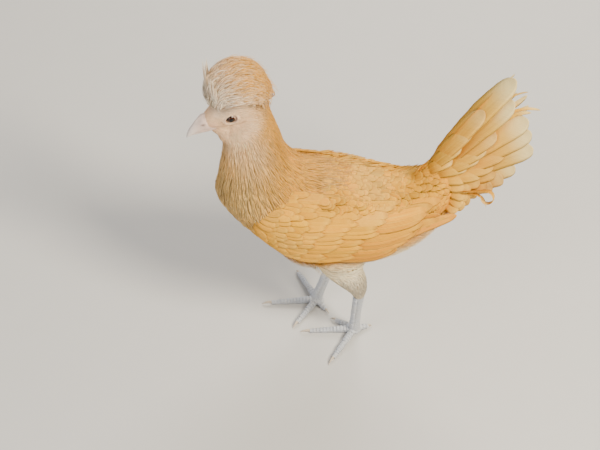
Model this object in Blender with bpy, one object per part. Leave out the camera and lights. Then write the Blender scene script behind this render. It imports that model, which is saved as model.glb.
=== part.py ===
"""A life-size Polish crested hen, standing still with her tail up, as a museum model.

The hen faces -X, her left side faces -Y and she stands on the plane z = 0.
Sizes are in millimetres, turned to metres by MM where a mesh is made.
"""

import math
import random

import bmesh
import bpy
import numpy as np
from mathutils import Matrix, Vector

MM = 0.001
GAP = 0.3            # air between two nodes that meet
FLOOR = 0.0          # level of the soles
SEED = 7

# The trunk in upright slices from breast to tail root:
# x, height of the centre, reach up, reach down, half width
TORSO = [
    (-157, 217, 6, 6, 6),
    (-151, 215, 21, 18, 19),
    (-132, 207, 44, 32, 36),
    (-104, 195, 57, 47, 49),
    (-62, 183, 64, 70, 57),
    (-20, 179, 61, 68, 56),
    (16, 176, 56, 61, 52),
    (46, 180, 48, 53, 44),
    (70, 191, 45, 48, 36),
    (90, 207, 40, 38, 28),
    (104, 223, 24, 22, 16),
]
# The neck in tilted slices: nape point x, z, throat point x, z, half width
NECK = [
    (-99, 344, -148, 300, 19),
    (-92, 322, -149, 283, 23),
    (-84, 296, -151, 262, 28),
    (-78, 274, -154, 243, 36),
    (-66, 254, -156, 222, 45),
    (-48, 236, -150, 198, 52),
    (-30, 215, -130, 180, 50),
]
# The head turns about its middle, towards the viewer and down
HEAD_PLACE = (-131, 0, 331)
HEAD_YAW = 12
HEAD_PITCH = 22
# The head in slices from face to nape, in its own frame, beak towards -x
HEAD = [
    (-37, 1, 7, 8, 7.5),
    (-33, 1, 10.5, 11, 10),
    (-20, 2, 16, 15, 15),
    (-5, 3, 19.5, 18, 18.5),
    (9, 2, 20, 20, 20),
    (22, -3, 17, 18, 16.5),
    (31, -8, 6, 8, 7),
]
MOUTH = [(-30, -4.6), (-46, -3.6), (-56, -4.6), (-64, -8.4)]
UPPER_BEAK = [
    (-29, 14.5, 9.4),
    (-37, 14.8, 8.4),
    (-45, 11.4, 6.6),
    (-53, 7.2, 4.8),
    (-60, 3.6, 2.9),
    (-63.6, 1.0, 1.2),
]
LOWER_BEAK = [(-29, 6.6, 8.2), (-40, 6.0, 7.0), (-50, 4.0, 5.0), (-57, 2.0, 3.0), (-60.5, 0.8, 1.4)]
EYE_AT = (-9, 11.8, 3)
EYE_RADIUS = 6.6
LID_RADIUS = 5.6
LID_THICK = 1.5
LOBE_AT = (4, 18.6, -9)
NOSTRIL_AT = (-40, 5.6, 4.2)

# The crest is a dome of arching feathers that start from a whorl above the beak
CREST_AT = (10.5, 0, 26)
CREST_REACH = (35, 30, 31)
CREST_CORE = (25, 20, 21)
CREST_WHORL = 48
CREST_DROOP = (4, 6, 26)    # degrees past the widest line, at front, sides and back
CREST_WISPS = [(-0.30, (-83, -9, 324)), (0.05, (-86, 1, 318)), (0.38, (-82, 11, 327))]
# count, first and last share of the way from whorl to rim, half width, layer
CREST_TIERS = [
    (17, 0.40, 1.0, 5.8, 0.0),
    (13, 0.26, 0.74, 5.6, 2.6),
    (8, 0.14, 0.50, 5.2, 4.8),
]

# The folded wing lies on a bed that follows the trunk and runs straight on past it.
# A place on the bed is x and the angle in degrees round from the middle of the back
WING_BED = TORSO[:8] + [(72, 187, 45, 47, 38), (112, 197, 42, 40, 33)]
WING_CORE = [
    (-112, 88, 4, 1.5),
    (-104, 87, 20, 4.0),
    (-84, 82, 34, 5.5),
    (-50, 78, 41, 4.5),
    (-14, 76, 38, 2.6),
    (14, 74, 28, 1.6),
    (30, 72, 10, 0.9),
]
# name, count, roots and tips at the lower and the upper end of the tier, half width,
# height over the trunk at root and at tip
WING_TIERS = [
    ("primaries", 5, ((-30, 106), (-18, 86)), ((106, 80), (84, 84)), 8.5, (2.4, 0.6)),
    ("secondaries", 8, ((-58, 110), (-16, 40)), ((34, 110), (86, 46)), 11.0, (4.0, 5.2)),
    ("greater_coverts", 6, ((-88, 107), (-50, 42)), ((-24, 110), (28, 40)), 11.5, (5.0, 8.6)),
    ("lesser_coverts", 5, ((-106, 98), (-88, 52)), ((-64, 108), (-30, 40)), 12.0, (4.0, 11.4)),
]
WING_TILT = 9        # each feather's lower edge lies over its neighbour

# The rump's end in slices across its own axis: distance out, half height, half width
TAIL_ROOT = (86, 0, 222)
TAIL_AXIS = 36
TAIL_CORE = [(-24, 20, 12), (-8, 27, 15), (10, 29, 13), (28, 25, 9), (42, 15, 5.5), (48, 5, 3)]
# Tail feathers fan from it, highest first: count, then first and last angle above
# level, sideways splay, length, and the half width and the height over the rump
TAIL_TIERS = [
    (7, (58, 22), (3, 19), (162, 62), 13.0, 1.0),
    (6, (55, 8), (5, 24), (94, 46), 11.0, 6.0),
    (5, (50, -12), (6, 25), (66, 38), 10.5, 9.5),
]

# Each leg: hip slice to hock as centre x, y, z, reach fore and aft, reach sideways
LEG = {
    "left": {
        "side": -1,
        "thigh": [
            (-22, -30, 136, 30, 20),
            (-17, -34, 120, 25, 19),
            (-7, -35, 103, 19, 16),
            (0, -33, 88, 13.5, 12),
            (3, -31, 75, 9, 8.5),
            (4, -30, 68, 7, 6.6),
        ],
        "shank": ((4, -30, 67.7), (0, -24, 11)),
        "foot": (0, -23),
        "toes": {
            "middle": (-64, -2, 52),
            "outer": (-31, -53, 50),
            "inner": (-28, 20, 26),
            "hind": (21, 8, 16),
        },
    },
    "right": {
        "side": 1,
        "thigh": [
            (-30, 30, 136, 30, 20),
            (-30, 34, 120, 24, 19),
            (-28, 35, 103, 18, 15),
            (-25, 34, 88, 12.5, 11),
            (-23, 33, 77, 8.5, 8),
            (-22, 32.5, 70, 7, 6.6),
        ],
        "shank": ((-22, 32.5, 69.7), (-43, 24.5, 11)),
        "foot": (-43.5, 24),
        "toes": {
            "middle": (-66, -4, 54),
            "inner": (-29, -43, 42),
            "outer": (-25, 51, 50),
            "hind": (14, -20, 17),
        },
    },
}
SHANK_HALF = (6.6, 5.6)
SCUTES = 9
SCUTE_STEP = 0.45
TOE_RADIUS = (4.6, 2.7)
TOE_PLATES = 4
TOE_STEP = 0.4

COLOURS = {
    "plumage": ((0.72, 0.45, 0.18), 0.85),
    "pale_plumage": ((0.80, 0.66, 0.46), 0.85),
    "face": ((0.72, 0.52, 0.44), 0.7),
    "beak": ((0.78, 0.68, 0.62), 0.45),
    "eye": ((0.05, 0.025, 0.012), 0.08),
    "leg_scale": ((0.42, 0.46, 0.50), 0.55),
    "claw": ((0.70, 0.63, 0.55), 0.4),
}


def clear_scene():
    for obj in list(bpy.data.objects):
        bpy.data.objects.remove(obj, do_unlink=True)


def collection_named(name):
    made = bpy.data.collections.new(name)
    bpy.context.scene.collection.children.link(made)
    return made


def material_named(name):
    found = bpy.data.materials.get(name)
    if found:
        return found
    colour, roughness = COLOURS[name]
    made = bpy.data.materials.new(name)
    made.use_nodes = True
    shader = made.node_tree.nodes["Principled BSDF"]
    shader.inputs["Base Color"].default_value = (*colour, 1)
    shader.inputs["Roughness"].default_value = roughness
    shader.inputs["Metallic"].default_value = 0
    return made


def through(rows, count):
    """count rows of a smooth curve through the given rows."""
    rows = np.array(rows, float)
    t = np.linspace(0, len(rows) - 1, count)
    i = np.minimum(t.astype(int), len(rows) - 2)
    f = (t - i)[:, None]
    slope = np.gradient(rows, axis=0)
    return (
        (2 * f**3 - 3 * f**2 + 1) * rows[i]
        + (f**3 - 2 * f**2 + f) * slope[i]
        + (3 * f**2 - 2 * f**3) * rows[i + 1]
        + (f**3 - f**2) * slope[i + 1]
    )


def ring(centre, up, side, reach_up, reach_down, half_width, points):
    """An oval slice with its own reach above and below the centre."""
    angle = np.arange(points) * math.tau / points
    rise = np.cos(angle)
    reach = np.where(rise > 0, reach_up, reach_down)
    return (
        np.array(centre)
        + np.outer(rise * reach, up)
        + np.outer(np.sin(angle) * half_width, side)
    )


def mesh_object(name, points, faces):
    """An object of the points, in millimetres, with its faces turned outwards."""
    mesh = bpy.data.meshes.new(name)
    mesh.from_pydata([tuple(p * MM) for p in np.array(points, float)], [], faces)
    work = bmesh.new()
    work.from_mesh(mesh)
    bmesh.ops.recalc_face_normals(work, faces=work.faces)
    if work.calc_volume(signed=True) < 0:
        bmesh.ops.reverse_faces(work, faces=work.faces)
    work.to_mesh(mesh)
    work.free()
    made = bpy.data.objects.new(name, mesh)
    bpy.context.scene.collection.objects.link(made)
    return made


def loft(name, rings):
    """A closed skin over the rings, each end closed round its middle point."""
    rings = [np.array(r) for r in rings]
    around = len(rings[0])
    points = np.vstack([*rings, rings[0].mean(0), rings[-1].mean(0)])
    faces = []
    for k in range(len(rings) - 1):
        for j in range(around):
            a, b = k * around + j, k * around + (j + 1) % around
            faces += [(a, b, b + around), (a, b + around, a + around)]
    first, last = len(rings) * around, len(rings) * around + 1
    end = (len(rings) - 1) * around
    for j in range(around):
        after = (j + 1) % around
        faces += [(first, after, j), (last, end + j, end + after)]
    return mesh_object(name, points, faces)


def turned(points, place, yaw=0.0, pitch=0.0):
    """Points of the head's own frame, nodded by pitch, turned by yaw and put in place."""
    turn = Matrix.Rotation(math.radians(yaw), 3, "Z") @ Matrix.Rotation(
        math.radians(-pitch), 3, "Y"
    )
    return np.array(points, float) @ np.array(turn).T + np.array(place)


def in_head(points):
    return turned(points, HEAD_PLACE, HEAD_YAW, HEAD_PITCH)


def upright_rings(rows, count, points, extra=0.0):
    """Slices across x from rows of x, centre height, reach up, reach down, half width."""
    found = []
    for x, z, up, down, half in through(rows, count):
        found.append(
            ring((x, 0, z), (0, 0, 1), (0, 1, 0), up + extra, down + extra, half + extra, points)
        )
    return found


def torso_solid(name, extra=0.0):
    rings = upright_rings(TORSO, 20, 20, extra)
    rings[0] = rings[0] - (extra, 0, 0)
    rings[-1] = rings[-1] + (extra, 0, 0)
    return loft(name, rings)


def neck_solid(name, extra=0.0):
    rings = []
    for nape_x, nape_z, throat_x, throat_z, half in through(NECK, 12):
        nape, throat = np.array((nape_x, 0, nape_z)), np.array((throat_x, 0, throat_z))
        reach = np.linalg.norm(nape - throat) / 2
        up = (nape - throat) / (2 * reach)
        middle = (nape + throat) / 2
        rings.append(ring(middle, up, (0, 1, 0), reach + extra, reach + extra, half + extra, 20))
    return loft(name, rings)


def head_solid(name, extra=0.0):
    rings = upright_rings(HEAD, 11, 18, extra)
    rings[0] = rings[0] - (extra, 0, 0)
    rings[-1] = rings[-1] + (extra, 0, 0)
    return loft(name, [in_head(r) for r in rings])


def oval(name, centre, reach, place=None, segments=16, rings=8):
    """An egg shape with a reach along each axis, in the head's frame where place is in_head."""
    bpy.ops.mesh.primitive_uv_sphere_add(segments=segments, ring_count=rings, radius=1)
    made = bpy.context.object
    made.name = name
    points = np.array([v.co for v in made.data.vertices]) * np.array(reach) + np.array(centre)
    points = place(points) if place else points
    for vertex, point in zip(made.data.vertices, points):
        vertex.co = Vector(point * MM)
    outwards(made)
    return made


def outwards(obj):
    work = bmesh.new()
    work.from_mesh(obj.data)
    bmesh.ops.recalc_face_normals(work, faces=work.faces)
    if work.calc_volume(signed=True) < 0:
        bmesh.ops.reverse_faces(work, faces=work.faces)
    work.to_mesh(obj.data)
    work.free()


def boolean(obj, operation, others, solver="MANIFOLD"):
    """Joins the others to obj, or cuts them from it, and removes them."""
    if not others:
        return obj
    group = collection_named("cutters")
    for other in others:
        for home in list(other.users_collection):
            home.objects.unlink(other)
        group.objects.link(other)
    modifier = obj.modifiers.new("join", "BOOLEAN")
    modifier.operation = operation
    modifier.operand_type = "COLLECTION"
    modifier.collection = group
    modifier.solver = solver
    graph = bpy.context.evaluated_depsgraph_get()
    result = bpy.data.meshes.new_from_object(obj.evaluated_get(graph))
    obj.modifiers.clear()
    obj.data = result
    for other in others:
        bpy.data.objects.remove(other, do_unlink=True)
    bpy.data.collections.remove(group)
    return obj


def keep_largest(obj):
    """Leaves only the largest closed surface of the mesh."""
    work = bmesh.new()
    work.from_mesh(obj.data)
    bmesh.ops.triangulate(work, faces=work.faces)
    left, groups = set(work.faces), []
    while left:
        group, edge = set(), [left.pop()]
        while edge:
            face = edge.pop()
            group.add(face)
            for side in face.edges:
                for other in side.link_faces:
                    if other in left:
                        left.remove(other)
                        edge.append(other)
        groups.append(group)
    if len(groups) > 1:
        sizes = [abs(sum(shell_volume(f) for f in g)) for g in groups]
        keep = groups[int(np.argmax(sizes))]
        drop = [f for f in work.faces if f not in keep]
        bmesh.ops.delete(work, geom=drop, context="FACES")
    work.to_mesh(obj.data)
    work.free()
    return obj


def shell_volume(face):
    a, b, c = (v.co for v in face.verts)
    return a.dot(b.cross(c)) / 6


def node(name, obj, material, home):
    """Names the finished solid and puts it in the hen's collection."""
    keep_largest(obj)
    obj.name = name
    obj.data.name = name
    obj.data.materials.clear()
    obj.data.materials.append(material_named(material))
    for old in list(obj.users_collection):
        old.objects.unlink(obj)
    home.objects.link(obj)
    obj.data.shade_smooth()
    obj.data.set_sharp_from_angle(angle=math.radians(40))
    return obj


def vane(name, rib, face, half_widths, thick):
    """A closed feather blade along rib points, whose outer side looks along face."""
    rib, face = np.array(rib, float), np.array(face, float)
    along = np.gradient(rib, axis=0)
    across = np.cross(along, face)
    across /= np.linalg.norm(across, axis=1)[:, None]
    out = np.cross(across, along)
    out /= np.linalg.norm(out, axis=1)[:, None]
    half = np.array(half_widths)[:, None]
    left, right = rib - across * half, rib + across * half
    stations = np.stack([left, right, right - out * thick, left - out * thick], axis=1)
    faces = [(0, 1, 2, 3)]
    for k in range(0, 4 * (len(rib) - 1), 4):
        for j in range(4):
            a, b = k + j, k + (j + 1) % 4
            if j == 2:
                faces += [(a, b, a + 4), (b, b + 4, a + 4)]
            else:
                faces += [(a, b, b + 4), (a, b + 4, a + 4)]
    end = 4 * (len(rib) - 1)
    faces.append((end, end + 1, end + 2, end + 3))
    return mesh_object(name, stations.reshape(-1, 3), faces)


BED = through(WING_BED, 240)
SPANS = np.array((0.0, 0.34, 0.66, 0.9, 1.0))
OUTLINE = np.array((0.5, 0.9, 1.0, 0.74, 0.22))
SHORT_SPANS = np.array((0.0, 0.42, 0.84, 1.0))
SHORT_OUTLINE = np.array((0.5, 0.97, 0.84, 0.25))


def bed_point(x, angle, side):
    """The wing's bed at x, angle degrees round from the middle of the back."""
    z, up, down, half = (np.interp(x, BED[:, 0], BED[:, k]) for k in (1, 2, 3, 4))
    turn = math.radians(angle)
    rise = math.cos(turn)
    return np.array((x, side * half * math.sin(turn), z + rise * (up if rise > 0 else down)))


def over_bed(x, angle, side, height):
    """The point that height over the bed, and the way out of it there."""
    along = bed_point(x + 4, angle, side) - bed_point(x - 4, angle, side)
    around = bed_point(x, angle + 4, side) - bed_point(x, angle - 4, side)
    out = np.cross(along, around) * side
    out /= np.linalg.norm(out)
    return bed_point(x, angle, side) + out * height, out


def wing_core(side):
    """The folded arm under the feathers, pressed on the trunk."""
    around = 12
    rings = []
    for x, middle, half, thick in through(WING_CORE, 12):
        points = []
        for j in range(around):
            turn = j * math.tau / around
            lift = math.sin(turn)
            height = thick * lift if lift > 0 else 2.5 * lift
            point, _ = over_bed(x, middle + half * math.cos(turn), side, height)
            points.append(point)
        rings.append(points)
    return loft("wing_core", rings)


def wing_feathers(side):
    """Tiers of blades, each tier over the roots of the one behind it."""
    made = []
    for name, count, roots, tips, half, (root_high, tip_high) in WING_TIERS:
        short = "coverts" in name
        spans, outline = (SHORT_SPANS, SHORT_OUTLINE) if short else (SPANS, OUTLINE)
        for i in range(count):
            share = i / (count - 1)
            root = np.array(roots[0]) * (1 - share) + np.array(roots[1]) * share
            tip = np.array(tips[0]) * (1 - share) + np.array(tips[1]) * share
            rib, face = [], []
            for s in spans:
                x, angle = root * (1 - s) + tip * s
                angle += 5 * math.sin(math.pi * s)
                height = root_high + (tip_high - root_high) * s - 3.0 * (1 - s) ** 4
                point, out = over_bed(x, angle, side, height)
                lower = over_bed(x, angle + 4, side, height)[0] - point
                lower /= np.linalg.norm(lower)
                tilt = math.radians(WING_TILT)
                rib.append(point)
                face.append(out * math.cos(tilt) - lower * math.sin(tilt))
            made.append(vane(name, rib, face, half * outline, 0.8))
    return made


def wing(side_name, side, home):
    core = wing_core(side)
    boolean(core, "UNION", wing_feathers(side))
    boolean(core, "DIFFERENCE", [torso_solid("clear", GAP), neck_solid("clear", GAP + 0.4)])
    return node("wing_" + side_name, core, "plumage", home)


def crest_point(turn, away, layer):
    """A point of the crest's dome: turn 0 runs back over the crown, away is the angle
    from the whorl, layer the height over the dome. In the head's frame."""
    whorl = math.radians(CREST_WHORL)
    pole = np.array((-math.cos(whorl), 0, math.sin(whorl)))
    back = np.array((math.sin(whorl), 0, math.cos(whorl)))
    side = np.array((0, 1, 0))
    heading = back * math.cos(turn) + side * math.sin(turn)
    direction = pole * math.cos(away) + heading * math.sin(away)
    reach = np.array(CREST_REACH) + layer
    return np.array(CREST_AT) + direction / np.linalg.norm(direction / reach), direction


def crest_rim(turn):
    """The angle from the whorl to the rim, a little past the dome's widest line."""
    whorl = math.radians(CREST_WHORL)
    widest = math.atan2(math.sin(whorl), -math.cos(whorl) * math.cos(turn))
    front, sides, back = CREST_DROOP
    back_share, front_share = max(0, math.cos(turn)) ** 2, max(0, -math.cos(turn)) ** 2
    droop = sides + (back - sides) * back_share + (front - sides) * front_share
    return widest + math.radians(droop)


def crest_feathers(rng):
    made = []
    for count, start, end, half, layer in CREST_TIERS:
        for i in range(count):
            turn = (i + 0.5) * math.tau / count + rng.uniform(-0.05, 0.05)
            reach = crest_rim(turn) * (end + rng.uniform(-0.03, 0.03))
            rib, face = [], []
            for s in SPANS:
                away = crest_rim(turn) * start * (1 - s) + reach * s
                point, direction = crest_point(turn, away, layer + 1.2 * (i % 2))
                depth = 0.42 * (1 - s) ** 2.2
                point = point * (1 - depth) + np.array(CREST_AT) * depth
                rib.append(point + direction * (2.0 * s**4))
                face.append(direction)
            rib, face = in_head(rib), in_head(face) - in_head([(0, 0, 0)])
            made.append(vane("crest_feather", rib, face, half * OUTLINE, 0.8))
    return made


def crest_wisps():
    """Loose feathers that hang down the nape from the back of the crest."""
    made = []
    for turn, end in CREST_WISPS:
        start, way = crest_point(turn, crest_rim(turn) * 0.55, 0)
        start, bend = in_head([start * 0.72 + np.array(CREST_AT) * 0.28, start + way * 24])
        out = in_head([way])[0] - in_head([(0, 0, 0)])[0]
        rib = [
            start * (1 - s) ** 2 + bend * 2 * s * (1 - s) + np.array(end) * s**2 for s in SPANS
        ]
        made.append(vane("crest_wisp", rib, [out] * len(rib), 3.4 * OUTLINE, 0.8))
    return made


def crest(home):
    rng = random.Random(SEED)
    core = oval("crest_core", CREST_AT, CREST_CORE, in_head)
    boolean(core, "UNION", crest_feathers(rng) + crest_wisps())
    boolean(core, "DIFFERENCE", [head_solid("clear", GAP), neck_solid("clear", GAP)])
    return node("crest", core, "pale_plumage", home)


def mouth_height(x):
    line = np.array(MOUTH[::-1])
    return np.interp(x, line[:, 0], line[:, 1])


def beak_half(name, rows, up, extra=0.0):
    """One half of the beak, arched away from the line of the mouth."""
    rings = []
    for x, reach, half in through(rows, 9):
        z = mouth_height(x)
        if up:
            rings.append(
                ring((x, 0, z), (0, 0, 1), (0, 1, 0), reach + extra, 0.5 + extra, half + extra, 12)
            )
        else:
            centre = (x, 0, z - 1.3)
            rings.append(ring(centre, (0, 0, 1), (0, 1, 0), 0.5 + extra, reach + extra, half + extra, 12))
    rings[0] = rings[0] + (extra, 0, 0)
    return loft(name, [in_head(r) for r in rings])


def beak(home):
    upper = beak_half("upper", UPPER_BEAK, True)
    x, y, z = NOSTRIL_AT
    flaps = [oval("flap", (x, s * y, z + 1.6), (5.0, 2.8, 3.6), in_head, 10, 5) for s in (-1, 1)]
    for flap in flaps:
        boolean(flap, "DIFFERENCE", [head_solid("clear", GAP)])
    boolean(upper, "UNION", flaps)
    holes = [oval("hole", (x - 0.5, s * (y + 2.6), z - 0.4), (2.4, 2.0, 1.1), in_head, 8, 5) for s in (-1, 1)]
    boolean(upper, "DIFFERENCE", holes)
    node("beak_upper", upper, "beak", home)
    node("beak_lower", beak_half("lower", LOWER_BEAK, False), "beak", home)


def lid_ring(side):
    """The rim of the eyelids, a ring that is longer than it is high."""
    bpy.ops.mesh.primitive_torus_add(
        major_radius=1, minor_radius=LID_THICK / LID_RADIUS, major_segments=12, minor_segments=6
    )
    made = bpy.context.object
    x, y, z = EYE_AT
    points = np.array([v.co for v in made.data.vertices]) * LID_RADIUS
    points = points[:, [0, 2, 1]] * (1.12, 1.0, 0.86)
    points = points + (x, side * (y + 4.6), z)
    for vertex, point in zip(made.data.vertices, in_head(points)):
        vertex.co = Vector(point * MM)
    outwards(made)
    return made


def eyeball(name, side, extra=0.0):
    x, y, z = EYE_AT
    reach = EYE_RADIUS + extra
    return oval(name, (x, side * y, z), (reach, reach, reach), in_head, 14, 8)


def head(home):
    skull = head_solid("skull")
    lobes = [
        oval("lobe", (LOBE_AT[0], s * LOBE_AT[1], LOBE_AT[2]), (4.6, 1.6, 5.6), in_head, 10, 5)
        for s in (-1, 1)
    ]
    boolean(skull, "UNION", [lid_ring(-1), lid_ring(1), *lobes])
    cutters = [
        eyeball("clear", -1, GAP),
        eyeball("clear", 1, GAP),
        beak_half("clear", UPPER_BEAK, True, GAP),
        beak_half("clear", LOWER_BEAK, False, GAP),
    ]
    for cutter in cutters:
        boolean(skull, "DIFFERENCE", [cutter])
    boolean(skull, "DIFFERENCE", [neck_solid("clear", GAP)])
    node("head", skull, "face", home)
    node("eye_left", eyeball("eye", -1), "eye", home)
    node("eye_right", eyeball("eye", 1), "eye", home)


def tail_frame(raise_deg, splay_deg, roll_deg, side):
    """Direction of a tail feather and the way its outer side looks."""
    rise, splay = math.radians(raise_deg), math.radians(splay_deg)
    along = np.array(
        (math.cos(rise) * math.cos(splay), side * math.sin(splay), math.sin(rise) * math.cos(splay))
    )
    up = np.array((-math.sin(rise), 0, math.cos(rise)))
    lateral = np.cross(up, along)
    lateral *= side if lateral[1] > 0 else -side
    roll = math.radians(roll_deg)
    return along, lateral * math.cos(roll) + up * math.sin(roll)


def tail_tier(side, count, raises, splays, lengths, half, height):
    """One side of a tier of tail feathers, the upper ones over the lower ones."""
    made = []
    axis, out = tail_frame(TAIL_AXIS, 0, 90, side)
    short = lengths[0] < 80
    spans, outline = (SHORT_SPANS, SHORT_OUTLINE) if short else (SPANS, OUTLINE)
    for i in range(count):
        share = i / (count - 1)
        rise, splay = (a + (b - a) * share for a, b in (raises, splays))
        length = lengths[0] + (lengths[1] - lengths[0]) * share**1.7
        along, face = tail_frame(rise, splay, 50 * (1 - share) + 4, side)
        root = np.array(TAIL_ROOT) + axis * 4 + out * (20 - 40 * share)
        root = root + face * (height + 1.3 * (count - 1 - i))
        rib = [root + along * length * s + face * 3.0 * s**2 for s in spans]
        made.append(vane("tail_feather", rib, [face] * len(rib), half * outline, 0.9))
    return made


def tail_core():
    """The rump's end, deep and narrow, that the tail feathers root in."""
    axis, up = tail_frame(TAIL_AXIS, 0, 90, 1)
    rings = []
    for away, high, wide in through(TAIL_CORE, 9):
        centre = np.array(TAIL_ROOT) + axis * away
        rings.append(ring(centre, up, (0, 1, 0), high, high, wide, 14))
    return loft("rump", rings)


def tail(home):
    rump = tail_core()
    feathers = []
    for tier in TAIL_TIERS:
        feathers += tail_tier(-1, *tier) + tail_tier(1, *tier)
    boolean(rump, "UNION", feathers)
    boolean(rump, "DIFFERENCE", [torso_solid("clear", GAP)])
    return node("tail", rump, "plumage", home)


def leg_rings(rows, count, points, extra=0.0):
    found = []
    for x, y, z, fore, side in through(rows, count):
        found.append(ring((x, y, z), (1, 0, 0), (0, 1, 0), fore + extra, fore + extra, side + extra, points))
    return found


def thigh(name, leg, home):
    made = loft("thigh", leg_rings(leg["thigh"], 11, 16))
    boolean(made, "DIFFERENCE", [torso_solid("clear", GAP)])
    node("thigh_" + name, made, "pale_plumage", home)


def shank(name, leg, home):
    """The scaled lower leg, with plates stepped down its front."""
    top, foot = (np.array(p, float) for p in leg["shank"])
    rings = []
    steps = np.repeat(np.arange(SCUTES + 1), 2)[1:-1]
    for k, step in enumerate(steps):
        share = step / SCUTES
        lower_edge = k % 2 == 1
        share = share - 0.012 if lower_edge else share
        waist = 1 - 0.16 * math.sin(math.pi * share)
        centre = top * (1 - share) + foot * share
        fore, half = SHANK_HALF[0] * waist, SHANK_HALF[1] * waist
        plate = SCUTE_STEP if lower_edge else 0.0
        slice_ = ring((0, 0, 0), (-1, 0, 0), (0, 1, 0), fore + plate, fore, half, 10)
        rings.append(slice_ + centre)
    node("shank_" + name, loft("shank", rings), "leg_scale", home)


def toe_tube(start, tip, radii):
    """A toe that lies on the floor, with plates stepped down its upper side."""
    start, tip = np.array(start, float), np.array(tip, float)
    along = tip - start
    side = np.array((-along[1], along[0], 0))
    side /= np.linalg.norm(side)
    rings = []
    for k, step in enumerate(np.repeat(np.arange(TOE_PLATES + 1), 2)[1:-1]):
        share = step / TOE_PLATES
        lower_edge = k % 2 == 1
        radius = radii[0] * (1 - share) + radii[1] * share
        radius *= 1 + 0.08 * math.cos(share * math.tau * 2)
        centre = start + along * (share - 0.02 * lower_edge)
        plate = TOE_STEP if lower_edge else 0.0
        slice_ = ring(centre, (0, 0, 1), side, radius + plate, radius, radius * 0.95, 8)
        slice_[:, 2] = np.maximum(slice_[:, 2], FLOOR)
        rings.append(slice_)
    return loft("toe", rings)


def claw_horn(start, tip):
    """A claw that curves from the toe's end down to the floor."""
    start, tip = np.array(start, float), np.array(tip, float)
    along = tip - start
    side = np.array((-along[1], along[0], 0))
    side /= np.linalg.norm(side)
    rings = []
    for share in (0.0, 0.3, 0.6, 0.88, 1.0):
        radius = 2.3 * (1 - share) ** 0.7 + 0.25
        centre = start * (1 - share) + tip * share
        centre[2] += 1.6 * math.sin(math.pi * share)
        slice_ = ring(centre, (0, 0, 1), side, radius, radius * 0.9, radius * 0.7, 6)
        slice_[:, 2] = np.maximum(slice_[:, 2], FLOOR)
        rings.append(slice_)
    return loft("claw", rings)


def foot(name, leg, home):
    x, y = leg["foot"]
    pad = oval("pad", (x - 1, y, 4.6), (9.5, 8.0, 5.4), None, 12, 6)
    ankle_low, ankle_high = np.array(leg["shank"][1], float), np.array(leg["shank"][0], float)
    lean = (ankle_high - ankle_low) / np.linalg.norm(ankle_high - ankle_low)
    top = ankle_low - lean * (GAP / lean[2])
    rings = [
        ring(top - lean * d, (-1, 0, 0), (0, 1, 0), SHANK_HALF[0] * g, SHANK_HALF[0] * g, SHANK_HALF[1] * g, 10)
        for d, g in ((0, 1.0), (3, 1.12), (7, 1.0))
    ]
    toes = [loft("ankle", rings)]
    claws = {}
    for toe, (dx, dy, bone) in leg["toes"].items():
        reach = math.hypot(dx, dy)
        heading = np.array((dx / reach, dy / reach))
        end = np.array((x, y)) + heading * bone
        tip = np.array((x, y)) + heading * reach
        root_high = 5.0
        toes.append(toe_tube((x, y, root_high), (*end, 2.6), TOE_RADIUS))
        gap_end = end + heading * GAP
        claws[toe] = claw_horn((*gap_end, 2.7), (*tip, 0.7))
    for first, second in (("middle", "outer"), ("middle", "inner")):
        a, b = np.array(leg["toes"][first][:2]), np.array(leg["toes"][second][:2])
        between = a / np.linalg.norm(a) + b / np.linalg.norm(b)
        place = np.array((x, y)) + between / np.linalg.norm(between) * 9
        toes.append(oval("web", (*place, 2.4), (6.5, 6.5, 2.2), None, 8, 5))
    boolean(pad, "UNION", toes)
    for vertex in pad.data.vertices:
        vertex.co.z = max(vertex.co.z, FLOOR)
    node("foot_" + name, pad, "leg_scale", home)
    for toe, horn in claws.items():
        node(f"claw_{name}_{toe}", horn, "claw", home)


def torso(home):
    node("torso", torso_solid("trunk"), "plumage", home)


def neck(home):
    made = neck_solid("neck_tube")
    boolean(made, "DIFFERENCE", [torso_solid("clear", GAP)])
    node("neck", made, "pale_plumage", home)


def main():
    clear_scene()
    home = collection_named("polish_hen")
    torso(home)
    neck(home)
    head(home)
    beak(home)
    crest(home)
    for side_name, side in (("left", -1), ("right", 1)):
        wing(side_name, side, home)
    tail(home)
    for name, leg in LEG.items():
        thigh(name, leg, home)
        shank(name, leg, home)
        foot(name, leg, home)


main()
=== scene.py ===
"""A life-size Polish crested hen, standing still with her tail up, dressed feather by feather.

The hen faces -X, her left side faces -Y and she stands on the plane z = 0.
Shapes are worked out in millimetres, and turned to metres by MM where a mesh is made.
"""

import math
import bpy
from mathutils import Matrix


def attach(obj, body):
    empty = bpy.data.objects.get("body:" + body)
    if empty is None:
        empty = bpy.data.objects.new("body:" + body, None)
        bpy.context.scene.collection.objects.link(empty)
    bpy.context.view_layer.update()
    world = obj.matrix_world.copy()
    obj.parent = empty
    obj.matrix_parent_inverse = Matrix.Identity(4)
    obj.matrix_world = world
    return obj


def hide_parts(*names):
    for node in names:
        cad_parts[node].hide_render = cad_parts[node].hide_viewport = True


bl_info = {
    "name": "Polish crested hen",
    "version": (1, 0, 0),
    "blender": (4, 5, 0),
    "location": "3D View > Sidebar > Hen",
    "description": "Builds the hen's skin, feathers, eyes, beak and legs around her packed solids",
    "category": "Add Mesh",
}

import bmesh
import bpy
import numpy as np
from bpy.props import FloatProperty, FloatVectorProperty, IntProperty, PointerProperty
from mathutils import Matrix, Vector
from mathutils.kdtree import KDTree

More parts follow.
